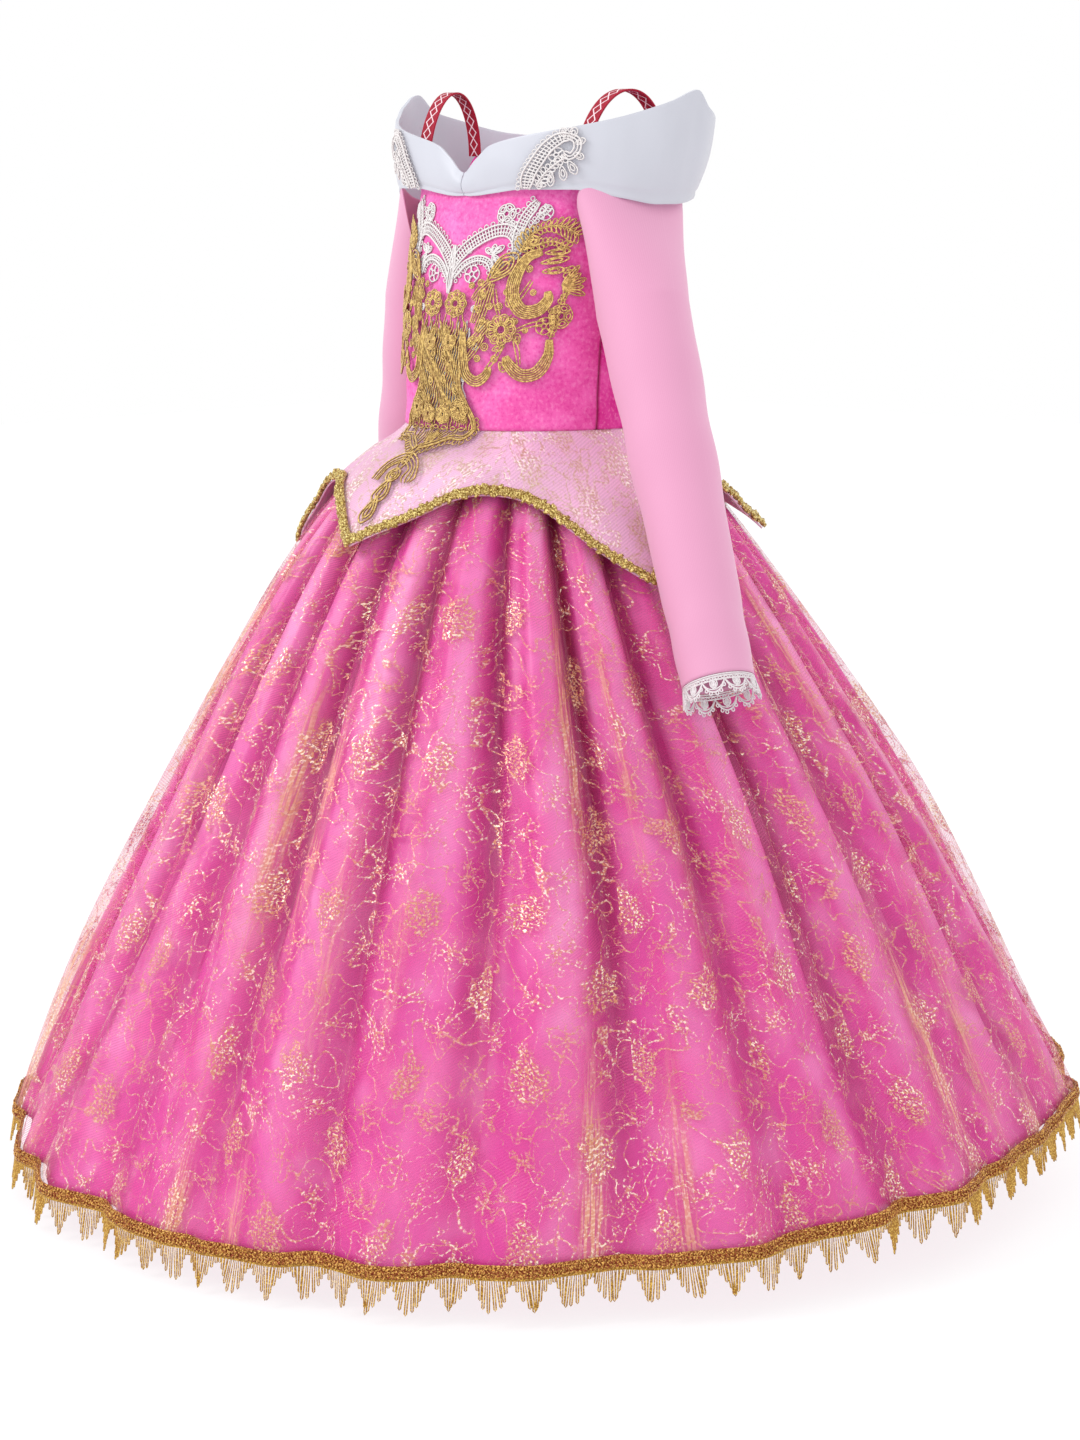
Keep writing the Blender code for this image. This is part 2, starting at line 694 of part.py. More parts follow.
def white_pieces():
    thick, thin = WHITE_CORD
    pieces = [(leaf((0, -132), (0, -104), 9), thick)]
    for loops, height in (
        (ribbon((26, -116), 24, 62, 206, 7, 0.8), thick),
        (ribbon((44, -98), 11, -100, 118, 6, 0.8), thick),
        (ribbon((24, -118), 12, 20, 200, 4), thin),
        (flower((24, -114), 6, 5), thin),
        (bar((2, -122), (13, -120), 5), thin),
        (bar((24, -114), (45, -109), 3.5), thin),
        (ribbon((70, -92), 20, 108, 205, 6), thick),
        (flower((53, -79), 7, 5), thin),
    ):
        pieces += both_sides(loops, height)
    return pieces


def collar_lace_pieces():
    # Spray that climbs the collar; its second number is millimetres above the collar's lower edge.
    thick, thin = WHITE_CORD
    return [
        (leaf((41, 3), (62, 34), 13, True), thick),
        (ribbon((61, 24), 9, -90, 130, 6), thick),
        (leaf((62, 17), (73, 5), 6), thin),
        (bar((51, 12), (71, 22), 4), thin),
        (flower((71, 27), 6, 5), thin),
    ]


def make_applique(collection, cutters, gold, white):
    lace_solid(collection, cutters, "guipure_gold", gold_pieces(), raised_front, gold)
    lace_solid(collection, cutters, "guipure_white", white_pieces(), front_point, white)
    lace_solid(collection, cutters, "collar_lace_left", collar_lace_pieces(), on_collar, white)
    other_side = [(mirrored(loops), height) for loops, height in collar_lace_pieces()]
    lace_solid(collection, cutters, "collar_lace_right", other_side, on_collar, white)


def on_collar(degrees, up):
    return collar_point(degrees, min(max(up / COLLAR_LACE_HEIGHT, 0.0), 1.0))


def raised_front(degrees, z):
    # The gold lace lies over the white, clear of it.
    point = front_point(degrees, z)
    return point + Vector((point.x, point.y, 0)).normalized() * GOLD_LIFT


def main():
    clear_scene()
    dress = new_collection("princess_costume_dress")
    cutters = new_collection("cutters")
    velvet = new_material("bodice_velvet", (0.80, 0.05, 0.36), 0.75)
    collar_satin = new_material("collar_satin", (0.86, 0.87, 0.93), 0.45)
    sleeve_mesh = new_material("sleeve_mesh", (0.86, 0.47, 0.68), 0.6)
    skirt_satin = new_material("skirt_satin", (0.82, 0.06, 0.42), 0.4)
    skirt_lace = new_material("skirt_lace", (0.80, 0.42, 0.42), 0.5)
    peplum_satin = new_material("peplum_satin", (0.86, 0.52, 0.68), 0.45)
    braid = new_material("gold_braid", (0.55, 0.35, 0.08), 0.35, 0.8)
    gold = new_material("guipure_gold", (0.50, 0.32, 0.09), 0.6)
    white = new_material("guipure_white", (0.88, 0.84, 0.82), 0.7)
    strap_braid = new_material("strap_braid", (0.62, 0.04, 0.13), 0.7)

    make_bodice(dress, velvet)
    make_collar(dress, collar_satin)
    for side in ("left", "right"):
        make_sleeve(dress, side, sleeve_mesh, white)
        make_strap(dress, side, strap_braid)
    hem = make_skirt(dress, skirt_satin, skirt_lace)
    make_peplum(dress, peplum_satin, braid)
    make_hem_braid(dress, hem, braid)
    make_applique(dress, cutters, gold, white)


main()
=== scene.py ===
import math

import bmesh
import bpy
import numpy as np
from mathutils import Matrix, Vector


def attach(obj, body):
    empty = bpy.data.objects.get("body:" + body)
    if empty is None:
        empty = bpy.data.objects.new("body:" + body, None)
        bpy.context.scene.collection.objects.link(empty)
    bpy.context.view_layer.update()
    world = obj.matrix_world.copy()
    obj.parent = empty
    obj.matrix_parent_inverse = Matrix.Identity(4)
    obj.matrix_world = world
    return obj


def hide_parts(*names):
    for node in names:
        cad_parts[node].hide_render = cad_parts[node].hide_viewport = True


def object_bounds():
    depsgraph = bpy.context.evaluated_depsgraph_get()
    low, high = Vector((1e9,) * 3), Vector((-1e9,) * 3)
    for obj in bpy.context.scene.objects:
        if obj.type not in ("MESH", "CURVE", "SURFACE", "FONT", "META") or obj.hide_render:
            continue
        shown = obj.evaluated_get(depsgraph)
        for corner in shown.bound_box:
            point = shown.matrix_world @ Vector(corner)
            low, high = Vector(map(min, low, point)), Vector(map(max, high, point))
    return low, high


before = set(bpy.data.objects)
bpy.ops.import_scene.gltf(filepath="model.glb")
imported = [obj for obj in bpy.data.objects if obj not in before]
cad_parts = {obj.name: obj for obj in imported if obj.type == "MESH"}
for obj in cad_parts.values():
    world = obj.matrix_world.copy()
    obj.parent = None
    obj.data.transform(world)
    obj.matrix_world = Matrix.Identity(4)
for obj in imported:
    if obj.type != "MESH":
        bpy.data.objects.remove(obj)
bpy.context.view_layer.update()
mm = 0.001
tau = 2 * math.pi

# Shared form of the dress, in metres. Angles run from 0 at the centre front to 90 at the wearer's left.

waistZ = -0.236
hemZ = -0.733
hemTilt = 0.059
pleatCount = 24
pleatAngle = 360 / pleatCount
peplumPoints = 5
peplumAngle = 360 / peplumPoints
peplumHigh = -0.276
peplumTips = np.array((-0.316, -0.338, -0.320))  # front, side and back points
form = {
    "bodice": (  # z, half width, front, back
        (-0.030, 0.0990, -0.0660, 0.0760),
        (-0.070, 0.0990, -0.0730, 0.0770),
        (-0.105, 0.0970, -0.0820, 0.0780),
        (-0.140, 0.0950, -0.0900, 0.0780),
        (-0.185, 0.0915, -0.0970, 0.0780),
        (-0.236, 0.0900, -0.1005, 0.0795),
    ),
    "neck": (  # angle, z
        (0, -0.0640), (40, -0.0620), (54, -0.0580), (60, -0.0680), (70, -0.1130), (82, -0.1350),
        (94, -0.1130), (102, -0.0620), (108, -0.0460), (130, -0.0390), (180, -0.0380),
    ),
    "collar": (  # angle, lower z, upper z, flare
        (0, -0.0740, -0.0570, 0.0), (6, -0.0735, -0.0475, 0.0), (12, -0.0720, -0.0385, 0.1),
        (25, -0.0690, -0.0320, 0.2), (43, -0.0690, -0.0260, 0.2), (64, -0.0750, -0.0180, 0.25),
        (80, -0.0790, -0.0090, 0.7), (92, -0.0790, -0.0010, 1.0), (101, -0.0780, -0.0130, 1.0),
        (112, -0.0760, -0.0190, 0.9), (134, -0.0740, -0.0290, 0.6), (158, -0.0730, -0.0320, 0.3),
        (180, -0.0730, -0.0330, 0.2),
    ),
    "skirt": (  # z, ridge radius, pleat depth, centre y, lift of the net
        (-0.2368, 0.0842, 0.0050, -0.0105, 0.0000),
        (-0.2680, 0.1200, 0.0115, -0.0130, 0.0000),
        (-0.3180, 0.1610, 0.0180, -0.0150, 0.0005),
        (-0.4000, 0.2150, 0.0200, -0.0110, 0.0015),
        (-0.5200, 0.2840, 0.0185, -0.0020, 0.0035),
        (-0.7330, 0.3900, 0.0075, 0.0010, 0.0010),
    ),
}


def smooth(at, table, column):
    # Smooth value of one column of a table, keyed by its first column.
    rows = np.asarray(sorted(table), float)
    keys, values = rows[:, 0], rows[:, column]
    secant = np.diff(values) / np.diff(keys)
    slope = np.zeros_like(values)
    before, after = secant[:-1], secant[1:]
    same = before * after > 0
    slope[1:-1] = np.where(same, 2 * before * after / np.where(same, before + after, 1), 0)
    slope[0] = 0 if keys[0] == 0 else secant[0]
    slope[-1] = secant[-1]
    at = np.clip(np.asarray(at, float), keys[0], keys[-1])
    i = np.clip(np.searchsorted(keys, at, side="right") - 1, 0, len(keys) - 2)
    span = keys[i + 1] - keys[i]
    t = (at - keys[i]) / span
    start = values[i] * (1 + 2 * t) * (1 - t) ** 2 + slope[i] * span * t * (1 - t) ** 2
    end = values[i + 1] * t * t * (3 - 2 * t) - slope[i + 1] * span * t * t * (1 - t)
    return start + end


def folded(degrees):
    return np.abs((degrees + 180) % 360 - 180)


def stack(x, y, z):
    return np.stack(np.broadcast_arrays(x, y, z), axis=-1).astype(float)


def bell(at, centre, width):
    return np.exp(-(((at - centre) / width) ** 2))


def outwards(points):
    # Level directions away from the middle.
    flat = points * (1, 1, 0)
    return flat / np.linalg.norm(flat, axis=-1, keepdims=True)


def pleatPlace(degrees):
    # Number of the pleat, and the share of the way across it.
    number = np.floor(degrees / pleatAngle)
    return number, degrees / pleatAngle - number


def ovalPoint(degrees, halfWidth, front, back, z):
    angle = np.radians(degrees)
    return stack(halfWidth * np.sin(angle), (front + back) / 2 - (back - front) / 2 * np.cos(angle), z)


def bodicePoint(degrees, z):
    width, front, back = (smooth(z, form["bodice"], c) for c in (1, 2, 3))
    return ovalPoint(degrees, width, front, back, z)


def skirtValue(z, column):
    return smooth(z, form["skirt"], column)


def pleatDepth(degrees):
    # 0 on a pleat's face and 1 in the fold behind it.
    t = pleatPlace(degrees)[1]
    knots = np.array((0.0, 0.12, 1.0, 0.55))
    step = t * 4
    k = step.astype(int) % 4
    ease = step - np.floor(step)
    ease = ease * ease * (3 - 2 * ease)
    return 0.85 * (knots[k] * (1 - ease) + knots[(k + 1) % 4] * ease) + 0.4 * bell(t, 0.53, 0.1)


def pleatFullness(number):
    number = number % pleatCount
    return 1 + 0.28 * np.sin(2.3 * number + 0.7) + 0.12 * np.sin(5.1 * number)


def skirtPoint(degrees, z, fullness=1.0):
    # Box pleats that start sharp at the waist and soften towards the hem.
    number, t = pleatPlace(degrees)
    uneven = pleatFullness(number) * (1 - t) + pleatFullness(number + 1) * t
    down = np.clip((waistZ - z) / (waistZ - hemZ), 0, 1)
    radius = skirtValue(z, 1) - skirtValue(z, 2) * uneven * pleatDepth(degrees) * fullness
    radius = radius + down * 0.0035 * np.sin(np.radians(degrees) * 13 + 6 * down)
    radius = radius + down**2 * 0.0025 * np.sin(np.radians(degrees) * 31 - 9 * down)
    turn = np.radians(degrees + 1.3 * np.sin(np.radians(5 * degrees) + z * 6))
    behind = -radius * np.cos(turn)
    return stack(radius * np.sin(turn), skirtValue(z, 3) + behind, z + behind * hemTilt * down**2)


def peplumPoint(degrees, z):
    share = np.clip((waistZ - z) / (waistZ - peplumTips.min()), 0, 1)
    leaves = np.clip((waistZ - z) / 0.017, 0, 1)
    lift = 0.011 + 0.002 * folded(degrees) / 180
    radius = skirtValue(z, 1) + 0.0076 * leaves + lift * share**2
    angle = np.radians(degrees)
    waist = bodicePoint(degrees, np.full(np.shape(degrees), waistZ))
    flare = skirtValue(z, 1) - skirtValue(waistZ, 1)
    snug = stack(waist[..., 0] + flare * np.sin(angle), waist[..., 1] - flare * np.cos(angle), z)
    flared = stack(radius * np.sin(angle), skirtValue(z, 3) - radius * np.cos(angle), z)
    blend = leaves[..., None]
    return snug * (1 - blend) + flared * blend


def peplumEdge(degrees):
    half = peplumAngle / 2
    fromPoint = np.abs((degrees + half) % peplumAngle - half) / half
    hang = 1 - np.sin(math.pi / 2 * fromPoint)
    hang = hang * (0.94 + 0.06 * fromPoint)
    nearest = np.round(folded(degrees) / peplumAngle).astype(int)
    return peplumHigh + (peplumTips[nearest] - peplumHigh) * hang


def frontPoint(degrees, z):
    below = peplumPoint(degrees, np.minimum(z, waistZ))
    above = bodicePoint(degrees, np.maximum(z, waistZ))
    return np.where((z < waistZ)[..., None], below, above)


def collarPoint(degrees, share):
    at = folded(degrees)
    low, top, flare = (smooth(at, form["collar"], c) for c in (1, 2, 3))
    z = low + (top - low) * share
    near = ovalPoint(degrees, 0.1265, -0.0768, 0.0850, z)
    far = ovalPoint(degrees, 0.1430, -0.0850, 0.1020, z)
    point = near + (far - near) * (flare * share)[..., None]
    return point + outwards(near) * (0.0025 * np.sin(math.pi * share))[..., None]


sleeveForm = {
    "outer": (0.1175, 0.0010, -0.0790),
    "inner": (0.0974, -0.0040, -0.1360),
    "depth": 0.037,
    "rise": 0.024,
    "draw": 0.005,
    "frontDepth": 0.050,
    "frontDraw": 0.018,
    "frontRise": 0.036,
    "top": (0.0930, -0.0140, -0.0740),
    "left": (0.2440, -0.0750, -0.3940),
    "right": (-0.2380, 0.0820, -0.3920),
    "rings": ((0.24, 0.0315), (0.36, 0.0305), (0.52, 0.0292), (0.70, 0.0272), (0.86, 0.0256), (1.0, 0.0240)),
}


def sleeveAxes(side):
    mirror = 1 if side == "left" else -1
    top = np.array(sleeveForm["top"]) * (mirror, 1, 1)
    cuff = np.array(sleeveForm[side])
    down = (cuff - top) / np.linalg.norm(cuff - top)
    out = -np.cross((0, 1, 0), down)
    out /= np.linalg.norm(out)
    return top, cuff, out, np.cross(down, out), down, mirror


def sleevePoints(side, turns, alongs, beyond=0.0, flare=0.0):
    # Rings along the arm, blended smoothly from the slanted head in the armhole.
    top, cuff, out, across, down, mirror = sleeveAxes(side)
    cosine, sine = np.cos(turns), np.sin(turns)
    outer, inner = np.array(sleeveForm["outer"]), np.array(sleeveForm["inner"])
    outwards = cosine * (1 if out[0] * mirror > 0 else -1)
    rearwards = sine * (1 if across[1] > 0 else -1)
    head = (outer + inner) / 2 + (outer - inner) / 2 * outwards[:, None]
    head = head + stack(
        -np.where(rearwards < 0, sleeveForm["frontDraw"], sleeveForm["draw"]) * rearwards**2,
        np.where(rearwards < 0, sleeveForm["frontDepth"], sleeveForm["depth"]) * rearwards,
        np.where(rearwards < 0, sleeveForm["frontRise"], sleeveForm["rise"]) * rearwards**2,
    )
    head = head * (mirror, 1, 1)
    rings = [head]
    keys = [0.0]
    for along, radius in sleeveForm["rings"]:
        centre = top + (cuff - top) * along + down * beyond
        rings.append(centre + (out * cosine[:, None] + across * sine[:, None]) * (radius + flare))
        keys.append(along)
    rings, keys = np.array(rings), np.array(keys)
    rows = []
    for at in alongs:
        i = min(max(np.searchsorted(keys, at, side="right") - 1, 0), len(keys) - 2)
        t = (at - keys[i]) / (keys[i + 1] - keys[i])
        if i == 0:
            t = t * (0.75 + 0.25 * t)
        rows.append(rings[i] * (1 - t) + rings[i + 1] * t)
    return np.array(rows)


# Meshes


def gridObject(name, points, uv, material, closed=False, faceUv=None, **shades):
    # Rows run down and columns run anticlockwise from above, so faces look outwards.
    down, across = points.shape[:2]
    i = np.arange(down - 1)[:, None]
    j = np.arange(across if closed else across - 1)[None, :]
    right = (j + 1) % across
    this, below = i * across, (i + 1) * across
    faces = np.stack(np.broadcast_arrays(this + j, below + j, below + right, this + right), -1).reshape(-1, 4)
    mesh = bpy.data.meshes.new(name)
    mesh.from_pydata(points.reshape(-1, 3).tolist(), [], faces.tolist())
    layer = mesh.uv_layers.new(name="flat")
    if faceUv is None:
        faceUv = uv.reshape(-1, 2)[faces.reshape(-1)]
        if closed:
            wrapped = faceUv.reshape(down - 1, -1, 4, 2)
            # the last column runs on instead of back to the start
            wrapped[:, -1, 2:, 0] += uv[0, 1, 0] - uv[0, 0, 0] + uv[0, -1, 0] - wrapped[:, -1, 2:, 0]
            faceUv = wrapped.reshape(-1, 2)
    layer.data.foreach_set("uv", np.asarray(faceUv, np.float32).ravel())
    for key, values in shades.items():
        giveValues(mesh, key, values)
    return meshObject(name, mesh, material)


def giveValues(mesh, key, values):
    layer = mesh.attributes.new(key, "FLOAT", "POINT")
    layer.data.foreach_set("value", np.asarray(values, np.float32).ravel())


def meshObject(name, mesh, material):
    mesh.materials.clear()
    mesh.materials.append(material)
    mesh.shade_smooth()
    obj = bpy.data.objects.new(name, mesh)
    bpy.context.scene.collection.objects.link(obj)
    return obj


def giveWall(obj, wall, offset=-1.0, bevel=0.0):
    solid = obj.modifiers.new("wall", "SOLIDIFY")
    solid.thickness, solid.offset, solid.use_even_offset = wall, offset, True
    if bevel:
        edge = obj.modifiers.new("edge", "BEVEL")
        edge.width, edge.segments, edge.limit_method = bevel, 2, "ANGLE"
        edge.angle_limit = math.radians(50)
    return obj


def normalsOf(points, closed=False):
    if closed:
        wide = np.concatenate((points[:, -1:], points, points[:, :1]), 1)
        along = np.gradient(wide, axis=1)[:, 1:-1]
    else:
        along = np.gradient(points, axis=1)
    down = np.gradient(points, axis=0)
    normal = np.cross(down, along)
    return normal / np.maximum(np.linalg.norm(normal, axis=-1, keepdims=True), 1e-9)


def tubeMesh(paths, radii, sides=6, closedPaths=None):
    # One mesh of round cords along many paths of points with their surface normals.
    verts, faces, tops = [], [], []
    base = 0
    ring = np.linspace(0, tau, sides, endpoint=False) - math.pi / 2
    for index, (path, normal) in enumerate(paths):
        loop = bool(closedPaths and closedPaths[index])
        count = len(path)
        ahead = np.roll(path, -1, 0) - np.roll(path, 1, 0) if loop else np.gradient(path, axis=0)
        ahead /= np.maximum(np.linalg.norm(ahead, axis=1, keepdims=True), 1e-9)
        side = np.cross(ahead, normal)
        side /= np.maximum(np.linalg.norm(side, axis=1, keepdims=True), 1e-9)
        up = np.cross(side, ahead)
        radius = np.broadcast_to(radii[index], (count,)).copy()
        if not loop:
            radius[[0, -1]] *= 0.55
        circle = np.cos(ring)[None, :, None] * side[:, None] - np.sin(ring)[None, :, None] * up[:, None]
        verts.append((path[:, None] + circle * radius[:, None, None]).reshape(-1, 3))
        tops.append(np.tile(-np.sin(ring), count))
        i = np.arange(count if loop else count - 1)[:, None]
        j = np.arange(sides)[None, :]
        nextI, nextJ = (i + 1) % count, (j + 1) % sides
        this, following = base + i * sides, base + nextI * sides
        quads = np.broadcast_arrays(this + j, this + nextJ, following + nextJ, following + j)
        faces += np.stack(quads, -1).reshape(-1, 4).tolist()
        if not loop:
            faces.append([base + s for s in range(sides)][::-1])
            faces.append([base + (count - 1) * sides + s for s in range(sides)])
        base += count * sides
    mesh = bpy.data.meshes.new("cords")
    mesh.from_pydata(np.concatenate(verts).tolist(), [], faces)
    # How far each point faces away from the cloth; the cord finishes paint shade on the sides from it.
    giveValues(mesh, "top", np.concatenate(tops))
    return mesh


# Shader helpers


class Value:
    def __init__(self, tree, socket):
        self.tree, self.socket = tree, socket

    def math(self, operation, *others):
        node = self.tree.nodes.new("ShaderNodeMath")
        node.operation = operation
        for target, source in zip(node.inputs, (self, *others)):
            feed(self.tree, target, source)
        return Value(self.tree, node.outputs[0])

    def __add__(self, other):
        return self.math("ADD", other)

    def __mul__(self, other):
        return self.math("MULTIPLY", other)

    def __sub__(self, other):
        return self.math("SUBTRACT", other)

    def __truediv__(self, other):
        return self.math("DIVIDE", other)

    def __rsub__(self, other):
        return self * -1 + other

    def __rtruediv__(self, other):
        return self.math("POWER", -1.0) * other

    __radd__ = __add__
    __rmul__ = __mul__

    def sin(self):
        return self.math("SINE")

    def cos(self):
        return self.math("COSINE")

    def absolute(self):
        return self.math("ABSOLUTE")

    def floor(self):
        return self.math("FLOOR")

    def fraction(self):
        return self.math("FRACT")

    def least(self, other):
        return self.math("MINIMUM", other)

    def most(self, other):
        return self.math("MAXIMUM", other)

    def root(self):
        return self.math("SQRT")

    def ramp(self, start, end):
        # 0 at start and 1 at end, eased between them.
        node = self.tree.nodes.new("ShaderNodeMapRange")
        node.interpolation_type = "SMOOTHSTEP"
        for target, source in zip(node.inputs, (self, start, end, 0.0, 1.0)):
            feed(self.tree, target, source)
        return Value(self.tree, node.outputs[0])


def feed(tree, target, source):
    if isinstance(source, Value):
        tree.links.new(source.socket, target)
    elif hasattr(source, "__len__") and len(source) == 3 and target.type == "RGBA":
        target.default_value = (*source, 1.0)
    else:
        target.default_value = source


class Cloth:
    # One Principled material and the nodes that feed it.
    def __init__(self, name, **constants):
        self.material = bpy.data.materials.new(name)
        self.material.use_nodes = True
        self.tree = self.material.node_tree
        self.shader = self.tree.nodes["Principled BSDF"]
        self.set(**constants)

    def set(self, **values):
        for name, value in values.items():
            feed(self.tree, self.shader.inputs[name.replace("_", " ")], value)

    def node(self, kind, out=0, settings=None, **inputs):
        node = self.tree.nodes.new(kind)
        for name, value in (settings or {}).items():
            setattr(node, name, value)
        for name, value in inputs.items():
            feed(self.tree, node.inputs[name.replace("_", " ")], value)
        return Value(self.tree, node.outputs[out])

    def flat(self):
        # Millimetres across and down the piece, from its own map.
        uv = self.node("ShaderNodeUVMap", settings={"uv_map": "flat"})
        split = self.tree.nodes.new("ShaderNodeSeparateXYZ")
        feed(self.tree, split.inputs[0], uv)
        return Value(self.tree, split.outputs[0]), Value(self.tree, split.outputs[1])

    def place(self):
        return self.node("ShaderNodeTexCoord", out=3)

    def shade(self, name):
        return self.node("ShaderNodeAttribute", out=2, settings={"attribute_name": name})

    def noise(self, vector, scale, detail=2.0, rough=0.5):
        return self.node("ShaderNodeTexNoise", Vector=vector, Scale=scale, Detail=detail, Roughness=rough)

    def vector(self, x, y, z=0.0):
        return self.node("ShaderNodeCombineXYZ", X=x, Y=y, Z=z)

    def mix(self, share, first, second):
        node = self.tree.nodes.new("ShaderNodeMix")
        node.data_type = "RGBA"
        for target, source in zip((node.inputs[0], node.inputs[6], node.inputs[7]), (share, first, second)):
            feed(self.tree, target, source)
        return Value(self.tree, node.outputs[2])

    def bump(self, height, distance, strength=1.0):
        normal = self.node("ShaderNodeBump", Height=height, Distance=distance, Strength=strength)
        self.set(Normal=normal)


netFlower = {  # millimetres
    "halfWide": 11, "halfLong": 17, "starReach": 17, "sprigReach": 15, "sprigDrop": 26, "mesh": 2.1,
    "skirtRepeat": (44.0, 104.0), "peplumRepeat": (36.0, 52.0),
}


def laceMask(cloth, u, v, columnGap, rowGap):
    # Metallic medallions in a half-drop repeat, with branching stars and stems between them.
    wobble = cloth.noise(cloth.vector(u * 0.025, v * 0.025), 1.0, 0.0)
    u = u + (wobble - 0.5) * 22
    v = v + (wobble - 0.5) * 16
    half = ((u / columnGap).floor() * 0.5).fraction()
    across = ((u / columnGap).fraction() - 0.5) * columnGap
    down = ((v / rowGap + half).fraction() - 0.5) * rowGap
    rough = cloth.noise(cloth.vector(u, v), 0.22, 2.0, 0.6)
    heading = down.math("ARCTAN2", across)
    wide, long = across / netFlower["halfWide"], down / netFlower["halfLong"]
    reach = (wide * wide + long * long).root() + (rough - 0.5) * 0.9
    reach = reach + (heading * 6).cos() * 0.13 + (heading * 13 + reach * 6).cos() * 0.07
    rosette = (reach * 16).sin() * 0.5 + 0.5
    medallion = (1.0 - reach).ramp(-0.08, 0.1) * (1.0 - rosette.ramp(0.5, 0.95) * 0.7)
    stars = None
    for x, y, legs, size, spin in (
        (0, rowGap / 2, 2.5, netFlower["starReach"], 0.3),
        (columnGap / 2, netFlower["sprigDrop"], 3.0, netFlower["sprigReach"], 1.1),
    ):
        dx, dy = across.absolute() - x, down.absolute() - y
        far = (dx * dx + dy * dy).root()
        turn = dy.math("ARCTAN2", dx) + far * 0.045 + (rough - 0.5) * 2.2 + spin
        leg = (turn * legs).sin().absolute() * far / legs
        star = (1.0 - leg).ramp(0.1, 0.6) * (1.0 - (far / size)).ramp(0.0, 0.25)
        stars = star if stars is None else stars.most(star)
    winding = cloth.noise(cloth.vector(u, v * 0.8), 0.045, 1.0, 0.55)
    stems = (1.0 - (winding - 0.5).absolute() * 60).ramp(0.0, 0.7)
    finer = cloth.noise(cloth.vector(u, v * 0.7, 5.0), 0.10, 1.0, 0.6)
    finer = (1.0 - (finer - 0.52).absolute() * 52).ramp(0.1, 0.8)
    return medallion, stars.most(stems).most(finer * 0.75)


def netLook(name, base, repeatSize, netAlpha=None):
    # Fine net with metallic flowers: laid on satin it is opaque, alone it is see-through.
    cloth = Cloth(name, Specular_IOR_Level=0.4)
    u, v = cloth.flat()
    flowers, stems = laceMask(cloth, u, v, *repeatSize)
    speck = cloth.noise(cloth.vector(u, v), 0.62, 1.0, 0.7).ramp(0.40, 0.53)
    thread = (flowers * (speck * 0.75 + 0.2)).most(stems * (speck * 0.5 + 0.35))
    # Painted glints: near-white specks put into the metallic thread's colour, in patches.
    glint = cloth.noise(cloth.vector(u, v, 4.0), 0.5, 0.0).ramp(0.50, 0.60)
    sweep = cloth.noise(cloth.vector(u, v, 9.0), 0.018, 0.0).ramp(0.40, 0.60)
    glint = glint * (sweep * 0.7 + 0.3)
    weave = ((u * 0.55 + v) * (tau / netFlower["mesh"])).sin() * 0.5 + 0.5
    patch = cloth.noise(cloth.vector(u, v, 2.0), 0.02, 0.0).ramp(0.35, 0.65)
    lighter = tuple(min(1, c * 1.3 + 0.03) for c in base)
    ground = cloth.mix(weave * 0.5 + patch * 0.5, base, lighter)
    if netAlpha is None:
        gold = cloth.mix(glint, (0.58, 0.37, 0.25), (1.0, 0.95, 0.84))
        cloth.set(Base_Color=cloth.mix(thread * 0.92, ground, gold))
    else:
        crease = cloth.shade("crease")
        streak = cloth.noise(cloth.vector(u, v * 0.05), 0.55, 1.0, 0.6).ramp(0.40, 0.60)
        gathered = (crease * (streak * 0.65 + 0.5)).least(1.0)
        gold = cloth.mix(glint, (0.62, 0.27, 0.14), (1.0, 0.90, 0.68))
        # Painted shade: the net's ground darkens in the pleat folds too.
        ground = cloth.mix(cloth.shade("fold") * 0.9, ground, (0.26, 0.002, 0.02))
        # Gathered net is tan, with the same painted glints.
        tan = cloth.mix(glint * 0.6, (0.74, 0.36, 0.22), (1.0, 0.80, 0.58))
        ground = cloth.mix(gathered, ground, tan)
        cloth.set(Base_Color=cloth.mix(thread, ground, gold))
        mesh = weave * (patch * 0.20 + 0.10) + netAlpha
        cloth.set(Alpha=(thread * 0.95).most(mesh).most(gathered * 0.8))
        cloth.material.surface_render_method = "BLENDED"
    cloth.set(Roughness=0.6 - thread * 0.28, Metallic=thread * 0.35)
    cloth.bump(speck, 0.3 * mm, 0.5)
    return cloth.material


def satinLook(name, colour, rough, sheen, fold=None):
    cloth = Cloth(name, Roughness=rough, Sheen_Weight=sheen, Sheen_Roughness=0.35, Specular_IOR_Level=0.5)
    u, v = cloth.flat()
    weave = cloth.noise(cloth.vector(u * 4, v * 0.6), 1.0, 2.0)
    soft = cloth.noise(cloth.vector(u * 0.03, v * 0.02), 1.0, 2.0)
    dark = tuple(c * 0.86 for c in colour)
    tone = cloth.mix(soft * 0.7 + weave * 0.3, dark, colour)
    if fold:
        foldShade, ridgeHighlight = fold
        # Painted highlight: the satin is lighter along each pleat's ridge and in soft patches.
        tone = cloth.mix((soft.ramp(0.45, 0.75) * 0.4 + cloth.shade("ridge")).least(1.0), tone, ridgeHighlight)
        # Painted shade: the satin darkens to crimson in the fold behind each pleat.
        tone = cloth.mix(cloth.shade("fold"), tone, foldShade)
    cloth.set(Base_Color=tone)
    cloth.bump(weave, 0.05 * mm, 0.5)
    return cloth.material


